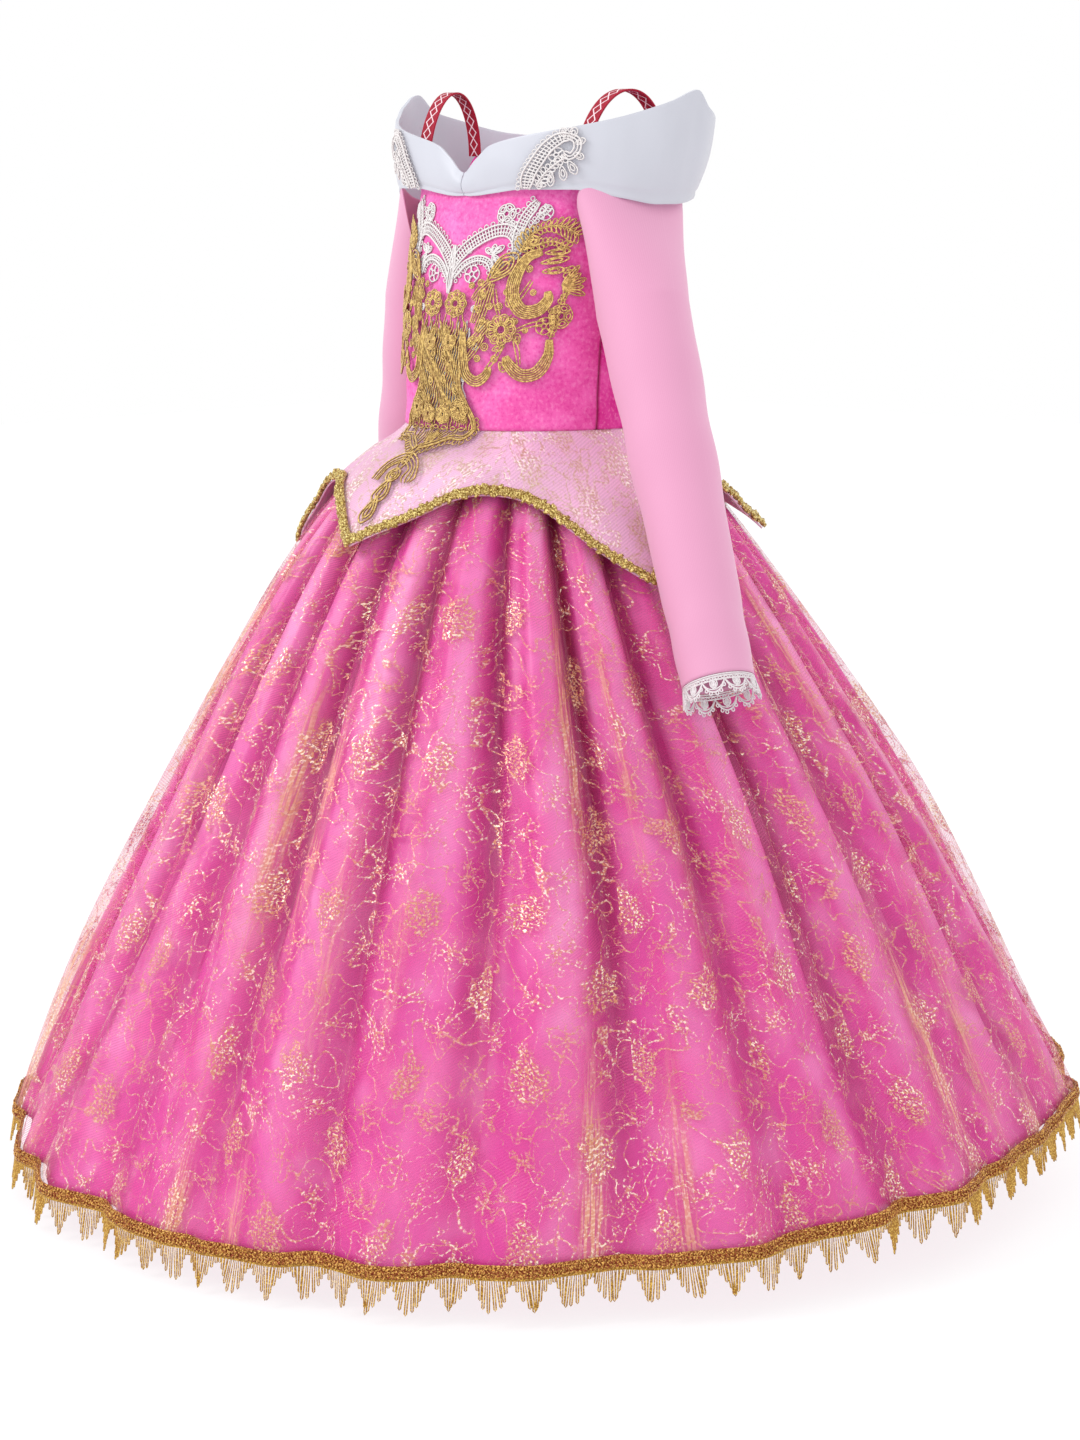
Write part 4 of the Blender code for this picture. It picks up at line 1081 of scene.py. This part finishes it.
def makeGoldLace():
    work = Lace(frontPoint, lace["goldLift"])
    for centre, reach, petals in (((11, -149), 9.4, 8), ((49, -166), 10.8, 9)):
        work.lift += 1.0
        work.daisy(centre, reach, petals, (1.0, 0.62), rib=True)
        work.lift -= 1.0
    hook = ((70, -112), (60, -117), (54, -130), (54, -143), (62, -153), (73, -152), (79, -145), (78, -139))
    work.scroll(hook, 8.5)
    work.scroll(((84, -172), (84, -184), (77, -195), (66, -197), (57, -190), (54, -184)), 8)
    work.scroll(((20, -168), (22, -186), (25, -197), (33, -202), (40, -198), (43, -192)), 6.5)
    work.petal((34, -133), (53, -114), 13, (1.0, 0.72, 0.42), 0.7, rib=True)
    work.laurel(((54, -113), (60, -101), (70, -95), (83, -95), (95, -101)), 7.5, 3.2)
    work.laurel(((56, -105), (63, -108), (76, -105), (88, -109)), 5.0, 3.6)
    for start, end in (((72, -113), (90, -111)), ((70, -120), (90, -116)), ((72, -126), (88, -124))):
        work.petal(start, end, 4.2, (1.0, 0.55), 0.6)
    work.fingers((86, -137), 20, -12, 52, 5, 3.6)
    work.daisy((90, -156), 8.5, 5, (1.0, 0.5))
    work.daisy((79, -163), 6.0, 5)
    work.daisy((54, -146), 5.0, 5)
    work.laurel(((90, -122), (93, -134), (88, -148)), 4.5, 3.4, 0.3)
    work.laurel(((84, -150), (86, -162), (84, -172)), 4.0, 3.4, 0.3)
    for start, end, cords in (
        ((24, -146), (36, -132), 3), ((30, -140), (26, -162), 3), ((38, -134), (30, -168), 3),
        ((40, -160), (24, -178), 4), ((52, -176), (40, -194), 2), ((56, -156), (52, -160), 2),
        ((60, -166), (80, -160), 2), ((59, -172), (64, -190), 2), ((66, -132), (54, -150), 2),
        ((46, -156), (40, -138), 2), ((36, -170), (24, -188), 3), ((90, -148), (92, -140), 2),
    ):
        work.bar(start, end, cords, 0.95 * cords)
    for x, z, reach in (
        (30, -152, 2.6), (34, -160, 2.2), (38, -150, 2.2), (45, -150, 2.4), (58, -160, 2.0),
        (66, -166, 1.9), (38, -178, 2.6), (46, -186, 2.4), (33, -186, 2.2), (29, -134, 2.2),
        (22, -136, 2.0), (63, -124, 2.2), (68, -140, 2.0), (49, -140, 2.0),
    ):
        work.ring((x, z), reach)
        work.ring((x, z), reach * 0.45)
    for x, z, turn in (
        (44, -180, 20), (50, -188, -60), (32, -172, 200), (62, -176, 100), (31, -146, 80),
        (43, -128, 160),
    ):
        work.leaf(x, z, turn, 8, 4.4)
    edge = (
        (19, -196), (20, -206), (26, -218), (32.5, -229), (33, -238), (28, -244), (19, -244), (10, -248),
        (1, -252),
    )
    work.scroll(edge, 2.6, (0.8, 0.9))
    work.picots(curve(edge[3:]), 2.6, 3.4, 1.5)
    work.lift += 1.2
    for x, z, turn, reach in (
        (6, -164, -80, 9), (14, -170, -100, 9), (4, -180, -75, 8), (12, -188, -110, 9), (6, -198, -90, 8),
        (16, -204, -70, 8), (8, -212, -80, 8), (17, -220, -60, 8), (5, -224, -95, 8), (24, -226, -60, 6),
    ):
        work.leaf(x, z, turn, reach, 3.8)
    work.lift += 0.2
    for centre, reach in (((21, -222), 7.6), ((7, -226), 6.6), ((9, -176), 5.6)):
        work.daisy(centre, reach, 7, (1.0, 0.55), rib=True)
    work.lift -= 1.4
    work.mirrored = False
    for x, z in bodyThreads(work, 27, -156, -250, 0.0, 0.55):
        work.ring((x, z), 2.7, 0.7)
    work.scroll(((-11, -273), (-9.5, -263), (0, -257.5), (9.5, -263), (11, -273)), 5.6, (0.9, 1.4))
    for reach in (4.2, 2.6, 1.0):
        work.ring((0, -269), reach, 0.2, 0.8)
    work.petal((0, -272), (0, -287), 8.5, (1.0, 0.6), 0.8, rib=True)
    work.petal((0, -284), (0, -300), 7.0, (1.0, 0.6), 0.8, rib=True)
    work.petal((0, -249), (0, -266), 5.0, (1.0, 0.5), 0.7)
    keep(work.made("guipureGold", looks["gold"]), ["guipure_gold"])


def makeWhiteLace():
    work = Lace(frontPoint)
    heart = ((0, -125), (7, -114), (19, -104.5), (33, -98), (44, -98.5), (51, -106), (50, -114), (45, -116.5))
    work.picots(work.ladder(heart, 8.0), 5.6, 4.4, 1.6)
    inner = work.ladder(((3, -131), (11, -121.5), (22, -117), (32, -120), (36, -129)), 3.4, 2.3, 2)
    work.picots(inner, -3.0, 4.8, 1.3)
    work.daisy((19, -128), 6.2, 5)
    for tip in ((43, -122), (38, -126), (41, -108), (34, -107), (27, -110)):
        work.petal((33, -114), tip, 3.6, (1.0, 0.5))
    spray = work.ladder(((50, -112), (50, -99), (53, -88), (60, -77)), 6.5)
    work.picots(spray, 4.8, 4.2, 1.5)
    work.laurel(((55, -108), (57, -97), (62, -88), (69, -80)), 5.0, 3.4, 0.5, 2.4)
    work.daisy((38, -86), 7.0, 5, (1.0, 0.5))
    work.daisy((67, -85), 5.4, 5)
    work.bar((41, -92), (47, -98), 2)
    for x, z, reach in (
        (46, -84, 1.8), (57, -82, 1.7), (62, -96, 1.7), (60, -103, 1.6), (44, -92, 1.4), (14, -112, 1.5),
    ):
        work.ring((x, z), reach)
    for x, z, reach in (
        (22, -200, 2.2), (17, -214, 2.0), (26, -152, 2.4), (33, -164, 2.4), (30, -178, 2.4),
        (52, -131, 3.0),
    ):
        work.ring((x, z), reach, 1.6)
        work.ring((x, z), reach * 0.5, 1.6)
    work.mirrored = False
    work.scroll(((0, -108), (0, -120), (0, -132), (0, -142)), 5.0, (0.3, 0.4))
    bodyThreads(work, 17, -160, -228, 1.2, 0.75)
    keep(work.made("guipureWhite", looks["white"]), ["guipure_white"])
    sides = (("collarLaceLeft", "collar_lace_left", 1), ("collarLaceRight", "collar_lace_right", -1))
    for name, node, side in sides:
        drawn = Lace(onCollar, lace["collarLift"], False)
        line = drawn.ladder(((54, 1), (56, 12), (61, 22), (67, 31), (74, 36), (80, 36)), 7.6)
        drawn.picots(line, 4.9, 3.4, 1.5)
        drawn.laurel(((60, 3), (65, 12), (72, 19), (79, 23)), 5.4, 3.4, 0.5, 2.6)
        drawn.scroll(((79, 37), (84, 33), (84, 27), (80, 23), (76, 26)), 4.2, (0.8, 0.9))
        for root, tip, wide in (
            ((81, 34), (83, 42), 4.4), ((77, 36), (75, 43), 3.4), ((83, 31), (89, 33), 3.8),
            ((82, 25), (88, 21), 3.8), ((79, 20), (84, 11), 4.4), ((75, 17), (77, 7), 4.2),
            ((69, 13), (69, 3), 3.8), ((63, 8), (62, 1), 3.0),
        ):
            drawn.petal(root, tip, wide, (1.0, 0.5))
        drawn.daisy((72, 25), 4.8, 5)
        drawn.paths = [(points * (side, 1, 1), normals * (side, 1, 1)) for points, normals in drawn.paths]
        keep(drawn.made(name, looks["white"]), [node])


# Small shapes repeated along the trims


def repeatTree():
    # One copy of a shape at each point, turned and sized by the point's own values.
    tree = bpy.data.node_groups.new("repeatAlong", "GeometryNodeTree")
    sockets = {}
    kinds = {"Geometry": "Geometry", "Shape": "Object", "Finish": "Material", "Unevenness": "Float",
        "Seed": "Int"}
    for label, kind in kinds.items():
        socket = tree.interface.new_socket(label, in_out="INPUT", socket_type="NodeSocket" + kind)
        sockets[label] = socket.identifier
    tree.interface.new_socket("Geometry", in_out="OUTPUT", socket_type="NodeSocketGeometry")

    def node(kind, settings=None, **inputs):
        made = tree.nodes.new(kind)
        for key, value in (settings or {}).items():
            setattr(made, key, value)
        for key, value in inputs.items():
            target = made.inputs[key.replace("_", " ")]
            if isinstance(value, bpy.types.NodeSocket):
                tree.links.new(value, target)
            else:
                target.default_value = value
        return made

    given = node("NodeGroupInput")
    shape = node("GeometryNodeObjectInfo", Object=given.outputs["Shape"])
    turn = node("GeometryNodeInputNamedAttribute", {"data_type": "FLOAT_VECTOR"}, Name="turn")
    size = node("GeometryNodeInputNamedAttribute", {"data_type": "FLOAT_VECTOR"}, Name="size")
    toTurn = node("FunctionNodeEulerToRotation", Euler=turn.outputs["Attribute"])
    chance = node("FunctionNodeRandomValue", Seed=given.outputs["Seed"], Min=-0.5, Max=0.5)
    uneven = node("ShaderNodeMath", {"operation": "MULTIPLY_ADD"})
    tree.links.new(chance.outputs[1], uneven.inputs[0])
    tree.links.new(given.outputs["Unevenness"], uneven.inputs[1])
    uneven.inputs[2].default_value = 1.0
    scale = node(
        "ShaderNodeVectorMath", {"operation": "SCALE"}, Vector=size.outputs["Attribute"],
        Scale=uneven.outputs[0]
    )
    placed = node(
        "GeometryNodeInstanceOnPoints", Points=given.outputs["Geometry"], Instance=shape.outputs["Geometry"],
        Rotation=toTurn.outputs[0], Scale=scale.outputs[0],
    )
    real = node("GeometryNodeRealizeInstances", Geometry=placed.outputs[0])
    finish = node("GeometryNodeSetMaterial", Geometry=real.outputs[0], Material=given.outputs["Finish"])
    tree.links.new(finish.outputs[0], node("NodeGroupOutput").inputs[0])
    return tree, sockets


repeat, repeatSockets = repeatTree()


def alongTrim(name, points, turns, sizes, shape, material, uneven=0.2, seed=1):
    mesh = bpy.data.meshes.new(name + "Points")
    mesh.from_pydata(np.asarray(points).tolist(), [], [])
    for key, values in (("turn", turns), ("size", sizes)):
        layer = mesh.attributes.new(key, "FLOAT_VECTOR", "POINT")
        layer.data.foreach_set("vector", np.asarray(values, float).ravel())
    obj = meshObject(name, mesh, material)
    unit = meshObject(name + "Unit", shape, material)
    modifier = obj.modifiers.new("repeat", "NODES")
    modifier.node_group = repeat
    for label, value in (("Shape", unit), ("Finish", material), ("Unevenness", uneven), ("Seed", seed)):
        modifier[repeatSockets[label]] = value
    graph = bpy.context.evaluated_depsgraph_get()
    made = bpy.data.meshes.new_from_object(obj.evaluated_get(graph), depsgraph=graph)
    obj.modifiers.clear()
    obj.data = made
    made.shade_smooth()
    bpy.data.objects.remove(unit)
    return obj


def eulersOf(ahead, out, slant):
    # Turns that point a shape's length along the trim, leaning by slant, with its front facing out.
    turns = []
    for a, o, s in zip(ahead, out, slant):
        x = Vector(a).normalized()
        y = Vector(o) - x * Vector(o).dot(x)
        y.normalize()
        z = x.cross(y)
        lean = x * math.cos(s) + z * math.sin(s)
        rows = Matrix((lean, y, lean.cross(y))).transposed()
        turns.append(tuple(rows.to_euler()))
    return turns


def knotShape(length, thick):
    shape = bmesh.new()
    bmesh.ops.create_icosphere(shape, subdivisions=1, radius=1.0)
    bmesh.ops.scale(shape, verts=shape.verts, vec=(length / 2, thick / 2, thick / 2))
    mesh = bpy.data.meshes.new("knot")
    shape.to_mesh(mesh)
    shape.free()
    return mesh


def ringSteps(ring, spacing):
    # Even steps round a closed ring, with the way ahead.
    closed = np.concatenate((ring, ring[:1]))
    length = np.concatenate(([0], np.cumsum(np.linalg.norm(np.diff(closed, axis=0), axis=1))))
    count = round(length[-1] / spacing)
    at = np.arange(count) * length[-1] / count
    points = np.stack([np.interp(at, length, closed[:, k]) for k in range(3)], -1)
    ahead = np.roll(points, -1, 0) - np.roll(points, 1, 0)
    return points, ahead / np.linalg.norm(ahead, axis=1, keepdims=True)


def joined(name, objects):
    bpy.context.view_layer.update()
    with bpy.context.temp_override(active_object=objects[0], selected_editable_objects=objects):
        bpy.ops.object.join()
    objects[0].name = name
    return objects[0]


# Hem braid and its fringe

hem = {
    "above": 5.5 * mm, "below": 2.5 * mm, "gap": 1.6 * mm, "wall": 1.0 * mm, "rows": 3, "knot": 4.4 * mm,
    "knotThick": 2.2 * mm, "spacing": 3.0 * mm, "groups": 96, "loopsEach": 10, "longest": 25 * mm,
    "spread": 0.16,
    "profile": np.array((0.22, 0.40, 0.62, 0.84, 1.0, 0.97, 0.86, 0.66, 0.42, 0.26)),
    # loop lengths in a group
    "loopHalf": 0.8 * mm, "thread": 0.5 * mm,
}


def makeHem(net):
    low, above = net[-1], net[-2]
    up = above - low
    up /= np.linalg.norm(up, axis=1, keepdims=True)
    out = outwards(low)
    rows = []
    for share in np.linspace(1, 0, 7):
        rise = share * (hem["above"] + hem["below"]) - hem["below"]
        rows.append(low + up * rise + out * (hem["gap"] + 0.5 * mm * math.sin(math.pi * share)))
    rows = np.array(rows)
    length = np.concatenate(([0], np.cumsum(np.linalg.norm(np.diff(low, axis=0), axis=1)))) * 1000
    none = 0 * rows[..., 0]
    uv = stack(length[None, :] + none, np.linspace(0, 8, 7)[:, None] + none, none)
    band = giveWall(gridObject("hemBand", rows, uv[..., :2], looks["hem"], True), hem["wall"], 1.0)
    parts = [plain(band)]
    for k in range(hem["rows"]):
        share = (k + 0.5) / hem["rows"]
        rise = share * (hem["above"] + hem["below"]) - hem["below"]
        ring = low + up * rise + out * (hem["gap"] + 1.5 * mm)
        points, ahead = ringSteps(ring, hem["spacing"])
        level = points * (1, 1, 0)
        slant = np.full(len(points), 0.75 if k % 2 else -0.75)
        wander = np.sin(np.arange(len(points)) * 2.7 + k) * 0.25 * mm
        points = points + np.array((0, 0, 1)) * wander[:, None]
        sizes = np.ones((len(points), 3))
        knot = knotShape(hem["knot"], hem["knotThick"])
        turns = eulersOf(ahead, level, slant)
        parts.append(alongTrim("hemKnots", points, turns, sizes, knot, looks["hem"], 0.35, 10 + k))
    fringeRing = low - up * (hem["below"] - 0.6 * mm) + out * (hem["gap"] + 0.5 * mm)
    count = hem["groups"] * hem["loopsEach"]
    spacing = np.linalg.norm(np.roll(fringeRing, -1, 0) - fringeRing, axis=1).sum() / count
    points, ahead = ringSteps(fringeRing, spacing)
    inGroup = np.arange(len(points)) % hem["loopsEach"]
    long = hem["longest"] * hem["profile"][inGroup] * (0.95 + 0.05 * np.sin(np.arange(len(points)) * 1.3))
    outward = outwards(points)
    turns = []
    for k in range(len(points)):
        lean = 0.10 * math.sin(k * 0.9) + 0.08 * math.sin(k * 0.13)
        down = Vector((0, 0, -1)) + Vector(outward[k]) * hem["spread"] + Vector(ahead[k]) * lean
        down.normalize()
        side = Vector(ahead[k])
        side = (side - down * side.dot(down)).normalized()
        turns.append(tuple(Matrix((side, side.cross(down), -down)).transposed().to_euler()))
    reach = hem["loopHalf"]
    half = ((reach, 0, 0), (reach, 0, -0.5), (reach * 0.9, 0, -0.94))
    path = np.array([(-x, y, z) for x, y, z in half] + [(0, 0, -1.0)] + list(half[::-1]))
    loop = tubeMesh([(path, np.tile((0.0, -1.0, 0.0), (7, 1)))], [hem["thread"]], 4)
    sizes = np.stack((np.ones(len(points)), np.ones(len(points)), long), -1)
    parts.append(alongTrim("fringe", points, turns, sizes, loop, looks["fringe"], 0.0, 3))
    header = [(fringeRing + out * 0.4 * mm - (0, 0, 0.9 * mm * k), out) for k in (0, 1, 2)]
    parts.append(meshObject("header", tubeMesh(header, [hem["thread"]] * 3, 4, [True] * 3), looks["fringe"]))
    keep(joined("hemBraid", parts), ["hem_braid"])


def plain(obj):
    graph = bpy.context.evaluated_depsgraph_get()
    mesh = bpy.data.meshes.new_from_object(obj.evaluated_get(graph), depsgraph=graph)
    obj.modifiers.clear()
    obj.data = mesh
    return obj


def makePeplumBraid(band):
    # Knotted gold braid laid along the band at the peplum's edge.
    parts = []
    for k, share in enumerate((0.15, 0.5, 0.85)):
        row = share * (len(band) - 1)
        low = int(row)
        ring = band[low] * (1 - row + low) + band[low + 1] * (row - low)
        points, ahead = ringSteps(ring, peplum["knotSpacing"])
        outward = outwards(points)
        number = np.arange(len(points))
        wander = (np.sin(number * 1.9 + k * 2) + 0.8 * np.sin(number * 0.83 + k)) * 0.7 * mm
        points = points + outward * 1.3 * mm + np.array((0, 0, 1)) * wander[:, None]
        slant = np.where(number % 2 == 0, 1.0, -0.5) * (1 if k % 2 else -1)
        sizes = np.stack([0.9 + 0.35 * np.sin(number * 2.3 + k)] * 3, -1)
        knot = knotShape(peplum["knot"], peplum["knotThick"])
        turns = eulersOf(ahead, outward, slant)
        parts.append(alongTrim("braidKnots", points, turns, sizes, knot, looks["braid"], 0.4, 20 + k))
    return parts


# Lace at the cuffs

cuff = {"scallops": 10, "cordRows": (0.6, 2.0, 4.2), "flare": 2.4 * mm, "length": 15 * mm, "steps": 160}


def makeCuffLace():
    for side in ("left", "right"):
        def onCuff(degrees, down, side=side):
            turns = np.radians(degrees)
            top, end, out, across, way, mirror = sleeveAxes(side)
            radius = sleeveForm["rings"][-1][1] - cuff["flare"] * down / cuff["length"]
            centre = end + way * (0.4 * mm - down[:, None])
            return centre + (out * np.cos(turns)[:, None] + across * np.sin(turns)[:, None]) * radius[:, None]

        work = Lace(onCuff, -1.2, False)
        around = 360 / math.degrees(mm / lace["radius"])
        scallop = around / cuff["scallops"]
        turn = np.linspace(0, around, cuff["steps"], endpoint=False)
        for drop in cuff["cordRows"]:
            work.cord(np.stack((turn, np.full(cuff["steps"], -drop)), -1), 0.6, closed=True)
        zigzag = np.stack((turn, -3.1 - 0.9 * np.sin(turn / around * tau * 40)), -1)
        work.cord(zigzag, 0.45, closed=True)
        for k in range(cuff["scallops"]):
            left = k * scallop
            edge = curve([(left, -4.4), (left + scallop * 0.2, -10.2), (left + scallop * 0.5, -12.6),
                          (left + scallop * 0.8, -10.2), (left + scallop, -4.4)], step=5.0)
            work.cord(edge, 0.6)
            work.cord(edge * (1, 0.8) + (0, -0.7), 0.5)
            for at in (1, 3, 5, 7, 9):
                at = min(at * len(edge) // 11, len(edge) - 1)
                work.petal(edge[at], edge[at] + (0, -2.6), 7.0, radius=0.45)
            for tip in ((-9, -7.0), (-4, -9.4), (4, -9.4), (9, -7.0)):
                middle = np.array((left + scallop * 0.5, -5.2))
                work.petal(middle, (middle[0] + tip[0], tip[1]), 5.0, radius=0.5)
        name = "cuffLace" + side.title()
        keep(work.made(name, looks["cuff"]), ["cuff_lace_" + side])


makeBodice()
makeCollar()
makeStraps()
makeSleeves()
netPoints = makeSkirt()
makePeplum()
print("cloth made")
makeGoldLace()
makeWhiteLace()
makeCuffLace()
print("lace made")
makeHem(netPoints)
print("hem and fringe made")

# Stage, light and camera

view = {
    "azimuth": 45.0, "pitch": 9.6, "distance": 2.41, "height": -0.05, "lens": 82.5, "floorDrop": 4 * mm,
    "floorHalf": 6, "paper": (0.20, 0.20, 0.20), "glow": 0.80,
    "lights": {  # place, size in metres, watts
        "key": ((-0.9, -2.2, 1.3), 1.0, 30),
        "fill": ((2.6, -1.2, 0.6), 1.4, 6),
        "rim": ((0.4, 2.2, 1.6), 1.6, 10),
    },
}


def makeStage():
    scene = bpy.context.scene
    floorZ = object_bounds()[0][2] - view["floorDrop"]
    half = view["floorHalf"]
    corners = [(x * half, y * half, floorZ) for x, y in ((-1, -1), (1, -1), (1, 1), (-1, 1))]
    mesh = bpy.data.meshes.new("floor")
    mesh.from_pydata(corners, [], [(0, 1, 2, 3)])
    paper = Cloth("paper", Base_Color=view["paper"], Roughness=0.9)
    paper.set(Emission_Color=(1, 1, 1), Emission_Strength=view["glow"])
    floor = meshObject("floor", mesh, paper.material)
    world = bpy.data.worlds.new("studio")
    world.use_nodes = True
    world.node_tree.nodes["Background"].inputs[0].default_value = (1, 1, 1, 1)
    world.node_tree.nodes["Background"].inputs[1].default_value = 1.0
    scene.world = world
    scene.view_settings.view_transform = "Standard"
    for name, (place, size, power) in view["lights"].items():
        light = bpy.data.lights.new(name, "AREA")
        light.energy, light.size = power, size
        obj = bpy.data.objects.new(name, light)
        obj.location = place
        obj.rotation_euler = (Vector((0, 0, -0.4)) - obj.location).to_track_quat("-Z", "Y").to_euler()
        scene.collection.objects.link(obj)
    azimuth, pitch = math.radians(view["azimuth"]), math.radians(view["pitch"])
    camera = bpy.data.cameras.new("camera")
    camera.lens, camera.sensor_width, camera.sensor_fit = view["lens"], 36.0, "AUTO"
    obj = bpy.data.objects.new("camera", camera)
    obj.location = (math.sin(azimuth) * view["distance"], -math.cos(azimuth) * view["distance"],
        view["height"])
    ahead = Vector((-math.sin(azimuth) * math.cos(pitch), math.cos(azimuth) * math.cos(pitch),
        -math.sin(pitch)))
    obj.rotation_euler = ahead.to_track_quat("-Z", "Y").to_euler()
    scene.collection.objects.link(obj)
    scene.camera = obj


makeStage()
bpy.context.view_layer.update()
